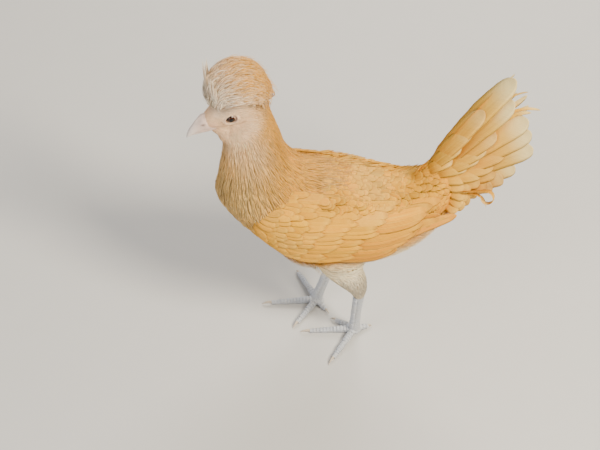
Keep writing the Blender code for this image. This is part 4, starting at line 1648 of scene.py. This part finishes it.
def crest_layer(count, half, length, height, sway, steps, rng):
    """One layer of the crest: paths, the ways out of it, half widths and roots."""
    roots = crest_roots(count, rng)
    number = len(roots)
    lengths = length * rng.uniform(0.75, 1.2, number)
    behind = roots[:, 0] > CREST_AT[0] + 6
    hang = crest_rim(roots) + 7 + rng.uniform(-3, 4, number)
    lengths = np.where(behind, np.minimum(lengths, hang), lengths)
    full = 1.0 + 2.6 * ease(-roots[:, 0], -42, 4)
    tips = height + full + rng.uniform(-0.4, 0.7, number)
    spines, outs = crest_sweep(
        roots, lengths, (-2.2 + 0.3 * height, tips), rng.normal(0, sway, number), steps)
    return spines, outs, half * rng.uniform(0.75, 1.25, number), roots


def bowed(start, bend, end, share):
    """A curved line from start to end, pulled towards bend."""
    start, bend, end = np.array(start), np.array(bend), np.array(end)
    return start * (1 - share) ** 2 + bend * 2 * share * (1 - share) + end * share**2


def crest_wisps(steps, rng):
    """Loose strands in the head's frame: fine ones lift off the crest, some stand before the
    brow, some arch over the crown, and straight ones and ringlets hang behind it."""
    above = np.array(UP) @ head_turn()
    share = np.linspace(0, 1, steps)[:, None]
    bunches = []

    def strand(path, out, half, root):
        """One strand; out is one way for all its steps, or a way for each."""
        bunches.append((path[None], np.broadcast_to(out, (1, steps, 3)), [half], root[None]))

    loose = crest_roots(260, rng)
    number = len(loose)
    lift = rng.uniform(4.0, 7.5, number)
    points, ways = crest_sweep(
        loose, rng.uniform(14, 26, number), (0.0 * lift, lift), rng.normal(0, 0.3, number), steps)
    bunches.append((points, ways, rng.uniform(0.22, 0.4, number), loose))

    for y in np.linspace(-23, 18, 150):
        start, out = on_crest(CREST_AT + (-30, y, rng.uniform(-7, 4)), 0.5)
        tall = (14 + 40 * rng.random() ** 0.7) * (1 - 0.25 * abs(y) / 22)
        path = start + above * (tall * share) + out * (5.2 * np.sin(1.4 * share)) + (
            np.array((0.03, 0.0, 0)) * tall * share**2.2)
        strand(path, out, rng.uniform(0.45, 1.1), start)

    arched = crest_roots(120, rng)
    arched = arched[(arched[:, 0] < CREST_AT[0] + 2) & (arched[:, 2] > CREST_AT[2] + 8)]
    number = len(arched)
    points, ways = crest_sweep(
        arched, rng.uniform(22, 32, number), (-1.0, np.full(number, 5.0)),
        rng.normal(0, 0.1, number), steps)
    points = points + ways * (rng.uniform(1.5, 5.5, (number, 1, 1)) * np.sin(math.pi * share))
    bunches.append((points, ways, rng.uniform(0.5, 1.1, number), arched))

    for turn in np.linspace(-1.0, 1.0, 230):
        place = (30 * math.cos(turn), 26 * math.sin(turn), rng.uniform(-16, 6))
        start, out = on_crest(CREST_AT + place, rng.uniform(-1.5, 2.5))
        long = rng.uniform(10, 27) * math.cos(turn) ** 1.5
        path = start - above * (long * share) + out * (3.0 * share - 2.5 * share**2)
        path = path + out * (rng.uniform(-2.5, 4.5) * share**3)
        strand(path, out, rng.uniform(0.3, 0.8), start)

    for side in np.linspace(-0.95, 0.95, 34):
        place = unit(np.array((0.9, side, rng.uniform(-0.75, 0.2))))
        start, out = on_crest(CREST_AT + CREST_REACH * place, 1.0)
        down = unit(np.array((-0.35, rng.normal(0, 0.3), -1.0)))
        curl = share * math.radians(rng.uniform(120, 230))
        radius = rng.uniform(2.8, 5.2)
        start = start - above * rng.uniform(0, 12)
        path = start + out * radius * np.sin(curl) + down * radius * (1.25 - 1.25 * np.cos(curl))
        face = out * np.cos(curl) + np.array(UP) * np.sin(curl)
        strand(path, face, rng.uniform(0.5, 1.1), start)
    return [np.concatenate([bunch[k] for bunch in bunches]) for k in range(4)]


# Tiers of a wing, deepest first: count, roots and tips at the tier's lower and upper end
# as x and degrees round the trunk, half width, height at root and tip, outline
WING_TIERS = [
    (7, ((-34, 104), (-18, 86)), ((107, 80), (84, 83)), 7.5, (2.4, 0.8), FLIGHT),
    (13, ((-60, 106), (-14, 42)), ((40, 107), (88, 48)), 8.4, (3.4, 4.4), FLIGHT),
    (15, ((-84, 106), (-42, 40)), ((-12, 107), (42, 40)), 6.4, (4.4, 6.2), ROUND),
    (17, ((-94, 105), (-60, 39)), ((-38, 106), (12, 38)), 5.8, (5.0, 7.0), ROUND),
    (18, ((-101, 102), (-76, 38)), ((-60, 105), (-16, 36)), 5.4, (5.0, 7.6), ROUND),
    (18, ((-107, 99), (-88, 38)), ((-76, 103), (-38, 35)), 5.0, (5.0, 8.0), ROUND),
    (17, ((-111, 95), (-99, 40)), ((-88, 100), (-56, 35)), 4.6, (4.4, 8.2), ROUND),
    (16, ((-115, 92), (-107, 44)), ((-98, 97), (-74, 37)), 4.2, (3.4, 7.6), ROUND),
]


class HEN_OT_wings(bpy.types.Operator):
    """Make the two folded wings in tiers of overlapping feathers"""

    bl_idname = "hen.wings"
    bl_label = "Wings"

    def execute(self, context):
        colours = context.scene.hen_colours
        for number, (name, side) in enumerate(SIDES):
            rng = draws(context, 20 + number)
            steps = 13
            share = fine_tip(steps)
            parts = []
            for tier, (count, roots, tips, half, heights, outline) in enumerate(WING_TIERS):
                row = np.clip(np.linspace(0, 1, count) + rng.normal(0, 0.008, count), 0, 1)
                root, tip = mixed(roots[0], roots[1], row), mixed(tips[0], tips[1], row)
                tip += rng.normal(0, 1, (count, 2)) * (3.2, 1.2)
                path = root[:, None] * (1 - share)[:, None] + tip[:, None] * share[:, None]
                x, angle = path[..., 0], path[..., 1] + 1.5 * np.sin(math.pi * share)
                height = heights[0] + (heights[1] - heights[0]) * share - 2.4 * (1 - share) ** 4
                height = height * (0.45 + 0.55 * ease(angle, 40, 64))
                points, out, lower = over_bed(x, angle, side, height)
                tilt = math.radians(6)
                hues = plumage_hues(points[:, steps // 2], colours)
                if tier < 2:
                    deeper = mixed(colours.rust, colours.gold, 0.25 + 0.5 * row)
                    hues = mixed(hues, deeper, np.array(0.75))
                parts.append((points, out * math.cos(tilt) - lower * math.sin(tilt),
                              half * rng.uniform(0.92, 1.1, count),
                              shaded(hues, rng, 0.08), outline, root, tier))
            for outline, label, look in (
                (FLIGHT, "flights", "wing_feathers"), (ROUND, "coverts", "laced_feathers"),
            ):
                rows = [p for p in parts if p[4] is outline]
                spines, outs, halves, hues, roots = (
                    np.concatenate([p[k] for p in rows]) for k in (0, 1, 2, 3, 5))
                tiers = np.concatenate([np.full(len(p[2]), p[6]) for p in rows])
                places = np.stack([
                    0.03 + 0.94 * (roots[:, 0] + 120) / 130,
                    0.03 + 0.115 * tiers + 0.105 * (roots[:, 1] - 30) / 90], axis=1)
                made = feathers(
                    f"wing_{label}_{name}", spines, outs, halves, outline, 0.4, 0.16, hues,
                    rng.random(len(halves)), places, rng, 7, 0.03, share)
                finish_piece(made, coat_finish(context, look), "plumage", "wing_" + name)
        return {"FINISHED"}


# The tail's outline: degrees above level, and how far it reaches from its root there
TAIL_REACH = [
    (-50, 40), (-30, 45), (-10, 50), (8, 57), (19, 72), (27, 90), (33, 112),
    (39, 128), (46, 141), (53, 149), (59, 154), (64, 180),
]
# Tiers of the tail, deepest first: count on each side, first and last angle, share of the
# reach at both, sideways splay, half width and height over the rump
TAIL_TIERS = [
    (8, (64, 17), (1.0, 1.0), (2, 20), 13.2, 1.0),
    (6, (65, 4), (0.66, 0.88), (3, 21), 11.5, 4.0),
    (6, (65, -12), (0.52, 0.90), (4, 23), 10.0, 6.5),
    (6, (64, -28), (0.40, 0.94), (5, 25), 8.8, 8.5),
    (7, (58, -48), (0.30, 0.98), (6, 26), 7.6, 10.5),
]
# Stray feathers at the tail's end: root, bend and tip, half width
TAIL_STRAYS = [
    ((104, -6, 262), (152, -9, 350), (191, -9, 335), 1.9),
    ((110, -8, 256), (150, -12, 338), (181, -12, 334), 2.4),
    ((100, 6, 262), (150, 9, 345), (179, 9, 345), 2.0),
]
# Curled feathers at the tail's lower edge: root, heading, length, half width, degrees of curl
TAIL_CURLS = [
    ((108, -20, 226), (0.94, -0.22, 0.26), 74, 5.0, 290),
    ((106, -18, 221), (0.96, -0.18, 0.16), 46, 3.6, 110),
]


class HEN_OT_tail(bpy.types.Operator):
    """Make the raised tail: main feathers, coverts, and the curled one"""

    bl_idname = "hen.tail"
    bl_label = "Tail"

    def execute(self, context):
        colours = context.scene.hen_colours
        rng = draws(context, 30)
        steps = 17
        share = fine_tip(steps)[:, None]
        rows = []
        axis = tail_frame(TAIL_AXIS, 0, 90, 1)[0]
        for side in (-1, 1):
            out = tail_frame(TAIL_AXIS, 0, 90, side)[1]
            for tier, (count, angles, reaches, splays, half, height) in enumerate(TAIL_TIERS):
                for i in range(count):
                    at = i / (count - 1)
                    angle, share_of, splay = (
                        a + (b - a) * at for a, b in (angles, reaches, splays))
                    angle += rng.normal(0, 0.7) - 2.5 * (side > 0)
                    reach = np.interp(angle, *np.array(TAIL_REACH).T) * share_of
                    reach *= 1 + rng.normal(0, 0.015)
                    along, face = tail_frame(angle, splay, 50 * (1 - at) + 4, side)
                    aside = height + 0.45 * (count - 1 - i)
                    root = TAIL_ROOT + axis * 2 + out * (17 - 34 * at) + face * 0.3 * aside
                    tip = TAIL_ROOT + along * reach + face * aside
                    bend = (root + tip) / 2 + out * 0.05 * reach + face * 0.8 * aside
                    spine = bowed(root, bend, tip, share)
                    hue = mixed(colours.rust, colours.gold, np.array(0.25 + 0.12 * tier))
                    if tier == 0:
                        white = 0.9 - 0.65 * ease(at, 0.6, 0.9)
                    else:
                        # the two upper coverts of each tier get whiter tips than the rest: painted
                        # sunlight on the tail's base
                        white = 0.3 if i < 2 else 0.1
                    face = np.tile(face, (steps, 1))
                    rows.append((spine, face, half, hue, white, (tier, at, side)))
        for root, bend, end, half in TAIL_STRAYS:
            spine = bowed(root, bend, end, share)
            face = np.tile(tail_frame(40, 0, 20, math.copysign(1, root[1]))[1], (steps, 1))
            rows.append((spine, face, half, np.array(colours.gold), 0.5, (5, root[0] / 200, 1)))
        for start, heading, length, half, turn in TAIL_CURLS:
            stops = np.interp(np.arange(steps), (0, 2, steps - 1), (0, 0.42, 1.0))[:, None]
            curl = math.radians(turn) * np.clip((stops - 0.45) / 0.55, 0, 1)
            along = unit(np.array(heading))
            down = unit(np.array((0, -0.35, -0.94)) - along * np.dot(along, (0, -0.35, -0.94)))
            way = along * np.cos(curl) + down * np.sin(curl)
            stride = (way[1:] + way[:-1]) / 2 * np.diff(stops, axis=0) * length
            path = np.array(start) + np.vstack([np.zeros(3), np.cumsum(stride, axis=0)])
            face = along * np.sin(curl) - down * np.cos(curl)
            rows.append((path, face, half, np.array(colours.warm), 0.4, (5, start[0] / 200, -1)))
        spines, outs, halves, hues, whites = (np.array([r[k] for r in rows]) for k in range(5))
        hues = np.repeat(shaded(hues, rng, 0.05)[:, None], steps, 1)
        whites = whites[:, None] * ease(share[:, 0], 0.70, 1.0)
        paler = ease(share[:, 0], 0.25, 0.85) * (0.3 + 0.35 * whites.max(1, keepdims=True))
        hues = mixed(hues, colours.edge, paler)
        hues = mixed(hues, colours.white, whites)
        places = np.array([
            (0.03 + 0.94 * at, 0.5 + side * (0.04 + 0.1 * tier)) for *_, (tier, at, side) in rows])
        made = feathers(
            "tail_feathers", spines, outs, halves, FLIGHT, 0.45, 0.14, hues, rng.random(len(rows)),
            places, rng, 7, 0.03, share[:, 0])
        finish_piece(made, coat_finish(context, "tail_feathers"), "plumage", "tail")
        return {"FINISHED"}


# Legs

def toe_lines(leg):
    """Start, end of the bone, tip of the claw and heading of each toe."""
    x, y = leg["foot"]
    for name, (dx, dy, bone) in leg["toes"].items():
        reach = math.hypot(dx, dy)
        heading = np.array((dx / reach, dy / reach, 0))
        middle = np.array((x, y, 0))
        start = np.array((x, y, 5.0))
        end = middle + heading * bone + (0, 0, 2.6)
        tip = middle + heading * reach + (0, 0, 0.7)
        yield name, start, end, tip, heading


def toe_rings(start, end, heading):
    """A toe with its knuckles, flat where it meets the floor."""
    side = np.array((-heading[1], heading[0], 0))
    rings = []
    for share in np.linspace(0, 1, 34):
        radius = TOE_RADIUS[0] * (1 - share) + TOE_RADIUS[1] * share
        knuckle = 0.07 * math.cos(share * math.tau * 3)
        radius *= 0.97 + knuckle
        centre = start * (1 - share) + end * share
        slice_ = ring(centre, radius * 0.95, radius * 1.05, radius * 0.95, 20, UP, side)
        slice_[:, 2] = np.maximum(slice_[:, 2], 0.15)
        rings.append(slice_)
    return rings


def shank_rings(leg):
    """The bare shank, narrower at its middle, from inside the hock into the foot."""
    top, foot = (np.array(p, float) for p in leg["shank"])
    rings = []
    for share in np.linspace(-0.06, 1.12, 40):
        waist = 1 - 0.16 * math.sin(math.pi * min(max(share, 0), 1))
        waist += 0.12 * ease(share, 0.88, 1.05)
        deep, wide = (half * waist for half in SHANK_HALF)
        centre = top * (1 - share) + foot * share
        rings.append(ring(centre, deep - 0.4, deep - 0.3, wide - 0.3, 28, (-1, 0, 0)))
    return rings


def pad_rings(leg):
    """The pad under the middle of the foot."""
    x, y = leg["foot"]
    rings = []
    for share in np.linspace(-0.97, 0.97, 16):
        wide = math.sqrt(1 - share**2)
        centre = (x - 1 + 9.3 * share, y, 4.6)
        rings.append(ring(centre, 5.2 * wide, 4.4 * wide, 7.8 * wide, 20))
    return rings


def plates_tree(name, material):
    """Nodes that set plates along the object's curve: each laps over the next, and they
    shrink from the first size to the last. Ends in plain mesh with its material."""
    tree = bpy.data.node_groups.new(name, "GeometryNodeTree")
    tree.interface.new_socket("Geometry", in_out="INPUT", socket_type="NodeSocketGeometry")
    for label, kind in (
        ("Plates", "Int"), ("Plate", "Object"), ("First size", "Float"), ("Last size", "Float"),
        ("Seed", "Int"), ("Up", "Vector"),
    ):
        tree.interface.new_socket(label, in_out="INPUT", socket_type="NodeSocket" + kind)
    tree.interface.new_socket("Geometry", in_out="OUTPUT", socket_type="NodeSocketGeometry")

    def add(kind, settings=None, sockets=None):
        made = tree.nodes.new(kind)
        for key, value in (settings or {}).items():
            setattr(made, key, value)
        for key, value in (sockets or {}).items():
            if isinstance(value, bpy.types.NodeSocket):
                tree.links.new(value, made.inputs[key])
            else:
                made.inputs[key].default_value = value
        return made

    given = add("NodeGroupInput")
    outlet = add("NodeGroupOutput")
    line = add("GeometryNodeCurveToPoints", {"mode": "COUNT"}, {
        "Curve": given.outputs["Geometry"], "Count": given.outputs["Plates"]})
    number = add("GeometryNodeInputIndex")
    last = add("ShaderNodeMath", {"operation": "SUBTRACT"}, {0: given.outputs["Plates"], 1: 1.0})
    size = add("ShaderNodeMapRange", None, {
        "Value": number.outputs[0], "From Min": 0.0, "From Max": last.outputs[0],
        "To Min": given.outputs["First size"], "To Max": given.outputs["Last size"]})
    chance = add("FunctionNodeRandomValue", {"data_type": "FLOAT"}, {
        "Seed": given.outputs["Seed"], 2: 0.94, 3: 1.06})
    scaled = add("ShaderNodeMath", {"operation": "MULTIPLY"}, {
        0: size.outputs[0], 1: chance.outputs[1]})
    aimed = add("FunctionNodeAlignRotationToVector", {"axis": "X"}, {
        "Vector": line.outputs["Tangent"]})
    lifted = add("FunctionNodeAlignRotationToVector", {"axis": "Z", "pivot_axis": "X"}, {
        "Rotation": aimed.outputs[0], "Vector": given.outputs["Up"]})
    source = add("GeometryNodeObjectInfo", None, {"Object": given.outputs["Plate"]})
    set_on = add("GeometryNodeInstanceOnPoints", None, {
        "Points": line.outputs["Points"], "Instance": source.outputs["Geometry"],
        "Rotation": lifted.outputs[0], "Scale": scaled.outputs[0]})
    solid = add("GeometryNodeRealizeInstances", None, {"Geometry": set_on.outputs[0]})
    painted = add("GeometryNodeSetMaterial", None, {
        "Geometry": solid.outputs[0], "Material": material})
    tree.links.new(painted.outputs[0], outlet.inputs["Geometry"])
    return tree


def plate_object():
    """One horny plate that wraps over the top of a limb of radius 1, thin at its sides."""
    around, along = 11, 5
    wrap = np.linspace(-1.25, 1.25, around)
    points = []
    for layer in (0, 1):
        for k in range(along):
            share = k / (along - 1)
            reach = -0.46 + 0.98 * share
            crown = 1.0 + (0.10 * math.sin(math.pi * min(1, 0.25 + share * 0.8)) + 0.06 * share)
            for a in wrap:
                thin = 1 - 0.6 * (a / 1.25) ** 4
                radius = (1.0 - 0.14) if layer else crown * (0.9 + 0.1 * thin)
                lap = 0.10 * math.cos(a) * share
                points.append(((reach + lap) * 0.66, math.sin(a) * radius, math.cos(a) * radius))
    top, under = np.arange(len(points)).reshape(2, along, around)
    faces = []
    for k in range(along - 1):
        for j in range(around - 1):
            faces.append((top[k, j], top[k, j + 1], top[k + 1, j + 1], top[k + 1, j]))
            faces.append((under[k, j], under[k + 1, j], under[k + 1, j + 1], under[k, j + 1]))
    for k in range(along - 1):
        faces.append((top[k, 0], top[k + 1, 0], under[k + 1, 0], under[k, 0]))
        faces.append((top[k, -1], under[k, -1], under[k + 1, -1], top[k + 1, -1]))
    for j in range(around - 1):
        faces.append((top[0, j], under[0, j], under[0, j + 1], top[0, j + 1]))
        faces.append((top[-1, j], top[-1, j + 1], under[-1, j + 1], under[-1, j]))
    return piece("plate", np.array(points) / MM, np.array(faces))


def plated(name, tree, plate, points, plates, sizes, up, seed):
    """Plates along a line through the points, as a plain mesh. sizes are the limb's radius at
    both ends, and up is the way that the plates face."""
    curve = bpy.data.curves.new(name, "CURVE")
    curve.dimensions = "3D"
    spline = curve.splines.new("POLY")
    spline.points.add(len(points) - 1)
    for spot, point in zip(spline.points, points):
        spot.co = (*(np.array(point) * MM), 1)
    carrier = linked(name, curve)
    modifier = carrier.modifiers.new("plates", "NODES")
    modifier.node_group = tree
    values = {
        "Plates": plates, "Plate": plate, "First size": sizes[0] * MM, "Last size": sizes[1] * MM,
        "Seed": seed, "Up": up}
    for socket in tree.interface.items_tree:
        if socket.in_out == "INPUT" and socket.name in values:
            modifier[socket.identifier] = values[socket.name]
    graph = bpy.context.evaluated_depsgraph_get()
    mesh = bpy.data.meshes.new_from_object(carrier.evaluated_get(graph))
    bpy.data.objects.remove(carrier, do_unlink=True)
    return linked(name, mesh)


def claw_rings(start, tip, heading):
    """A claw that curves from the toe's end down to the floor."""
    side = np.array((-heading[1], heading[0], 0))
    rings = []
    for share in np.linspace(0, 1, 16):
        radius = 2.25 * (1 - share) ** 0.65 + 0.16
        centre = (start - heading * 0.8) * (1 - share) + tip * share
        centre[2] += 1.8 * math.sin(math.pi * share**0.9)
        slice_ = ring(centre, radius, radius * 0.8, radius * 0.66, 14, UP, side)
        slice_[:, 2] = np.maximum(slice_[:, 2], 0.05)
        rings.append(slice_)
    return rings


class HEN_OT_legs(bpy.types.Operator):
    """Make the scaled shanks and feet, their plates and claws"""

    bl_idname = "hen.legs"
    bl_label = "Legs"

    def execute(self, context):
        colours, coat = context.scene.hen_colours, context.scene.hen_coat
        scaly = scale_finish("leg_scales", colours, 0.6, 1.0)
        plate_skin = scale_finish("leg_plates", colours, 0.25, 0.3)
        horn = horn_finish("claw_horn", colours.claw, tone(226, 214, 196), 2, 0.003, 0.0)
        plate = plate_object()
        tree = plates_tree("plates_along_a_limb", plate_skin)
        for name, leg in LEGS.items():
            solids = [loft("shank", shank_rings(leg)), loft("pad", pad_rings(leg))]
            claws, plates = [], []
            for toe, start, end, tip, heading in toe_lines(leg):
                solids.append(loft("toe", toe_rings(start, end, heading)))
                claws.append(loft("claw", claw_rings(end, tip, heading)))
                sunk = np.array((0, 0, -0.2))
                first, last = start * 0.86 + end * 0.14 + sunk, end * 0.985 + start * 0.015 + sunk
                reach = np.linalg.norm(last - first)
                count = max(4, round(coat.toe_plates * reach / PLATED_TOE))
                plates.append(plated(
                    "toe_plates", tree, plate, [first, (first + last) / 2, last], count,
                    (4.25, 2.75), UP, 3))
            top, foot = (np.array(p, float) for p in leg["shank"])
            line = [top * (1 - s) + foot * s for s in (0.02, 0.5, 1.0)]
            plates.append(plated(
                "shank_plates", tree, plate, line, coat.scutes, (6.0, 6.0), (-1, 0, 0.3), 5))
            skin = grown_together("leg_skin_" + name, solids, LEG_GRAIN, 4)
            for vertex in skin.data.vertices:
                vertex.co.z = max(vertex.co.z, 0.0)
            finish_piece(skin, scaly, "leg_scale", "shank_" + name, "foot_" + name)
            finish_piece(joined("plates_" + name, plates), plate_skin, "leg_scale")
            finish_piece(joined("claws_" + name, claws), horn, "claw",
                         *(f"claw_{name}_{toe}" for toe in leg["toes"]))
        bpy.data.objects.remove(plate, do_unlink=True)
        return {"FINISHED"}


# Stage

STAGE_CENTRE = (0, 0, 0.2)
LOOK_AT = (-0.064, 0, 0.154)
FLOOR_SIZE = 9
# Lamps: name, place, width, share of the key light's power, colour
LAMPS = [
    ("key", (1.1, -1.0, 1.6), 0.7, 1.0, (1.0, 0.92, 0.76)),
    ("fill", (-1.5, -1.2, 1.1), 1.4, 0.24, (0.98, 0.98, 1.0)),
    ("rim", (0.4, 1.6, 1.4), 1.2, 0.5, (1.0, 0.96, 0.88)),
]


def look_from(made, place, aim):
    """Sets a lamp or a camera in place, looking at aim."""
    made.location = place
    made.rotation_euler = (Vector(aim) - Vector(place)).to_track_quat("-Z", "Y").to_euler()


def lamp(name, place, size, power, colour):
    """A round soft lamp that looks at the middle of the stage."""
    light = bpy.data.lights.new(name, "AREA")
    light.shape = "DISK"
    light.size = size
    light.energy = power
    light.color = colour
    look_from(linked(name, light), place, STAGE_CENTRE)


class HEN_OT_stage(bpy.types.Operator):
    """Make the pale floor, the soft lights and the camera"""

    bl_idname = "hen.stage"
    bl_label = "Stage"

    def execute(self, context):
        setup = context.scene.hen_stage
        bpy.ops.mesh.primitive_plane_add(size=FLOOR_SIZE)
        floor = context.object
        floor.name = "floor"
        f = Finish("pale_floor")
        grain = f.noise(f.place(), 30.0, 4.0)
        paint = f.done({
            "Base Color": f.mix(grain, tuple(setup.floor), tuple(c * 0.97 for c in setup.floor)),
            "Roughness": 0.9,
        })
        floor.data.materials.append(paint)
        lens = bpy.data.cameras.new("camera")
        lens.lens = setup.focal
        lens.sensor_width = 36
        lens.clip_end = 50
        rise = setup.camera_height
        spot = Vector((0, -math.cos(rise), math.sin(rise))) * setup.camera_distance
        camera = linked("camera", lens)
        look_from(camera, Vector(LOOK_AT) + spot, LOOK_AT)
        context.scene.camera = camera
        for name, place, size, share, colour in LAMPS:
            lamp(name, place, size, setup.key * share, colour)
        world = bpy.data.worlds.new("studio")
        world.use_nodes = True
        sky = world.node_tree.nodes["Background"]
        sky.inputs["Color"].default_value = (0.93, 0.95, 1.0, 1)
        sky.inputs["Strength"].default_value = 0.32
        context.scene.world = world
        return {"FINISHED"}


OPERATORS = [
    HEN_OT_skin, HEN_OT_features, HEN_OT_face_feathers, HEN_OT_crest, HEN_OT_hackle,
    HEN_OT_body_feathers, HEN_OT_down, HEN_OT_wings, HEN_OT_tail, HEN_OT_legs, HEN_OT_stage,
]


class HEN_PT_panel(bpy.types.Panel):
    """Lists the hen's settings and the steps that build her"""

    bl_idname = "HEN_PT_panel"
    bl_label = "Polish crested hen"
    bl_space_type = "VIEW_3D"
    bl_region_type = "UI"
    bl_category = "Hen"

    def draw(self, context):
        layout = self.layout
        for label, settings in (
            ("Colours", context.scene.hen_colours), ("Coat", context.scene.hen_coat),
            ("Stage", context.scene.hen_stage),
        ):
            box = layout.box()
            box.label(text=label)
            for name in settings.__class__.__annotations__:
                box.prop(settings, name)
        for operator in OPERATORS:
            layout.operator(operator.bl_idname)


CLASSES += [*OPERATORS, HEN_PT_panel]


def register():
    for kind in CLASSES:
        bpy.utils.register_class(kind)
    bpy.types.Scene.hen_colours = PointerProperty(type=HenColours)
    bpy.types.Scene.hen_coat = PointerProperty(type=HenCoat)
    bpy.types.Scene.hen_stage = PointerProperty(type=HenStage)


def unregister():
    del bpy.types.Scene.hen_stage
    del bpy.types.Scene.hen_coat
    del bpy.types.Scene.hen_colours
    for kind in reversed(CLASSES):
        bpy.utils.unregister_class(kind)


def main():
    register()
    for operator in OPERATORS:
        group, name = operator.bl_idname.split(".")
        getattr(getattr(bpy.ops, group), name)()


if __name__ == "__main__":
    main()
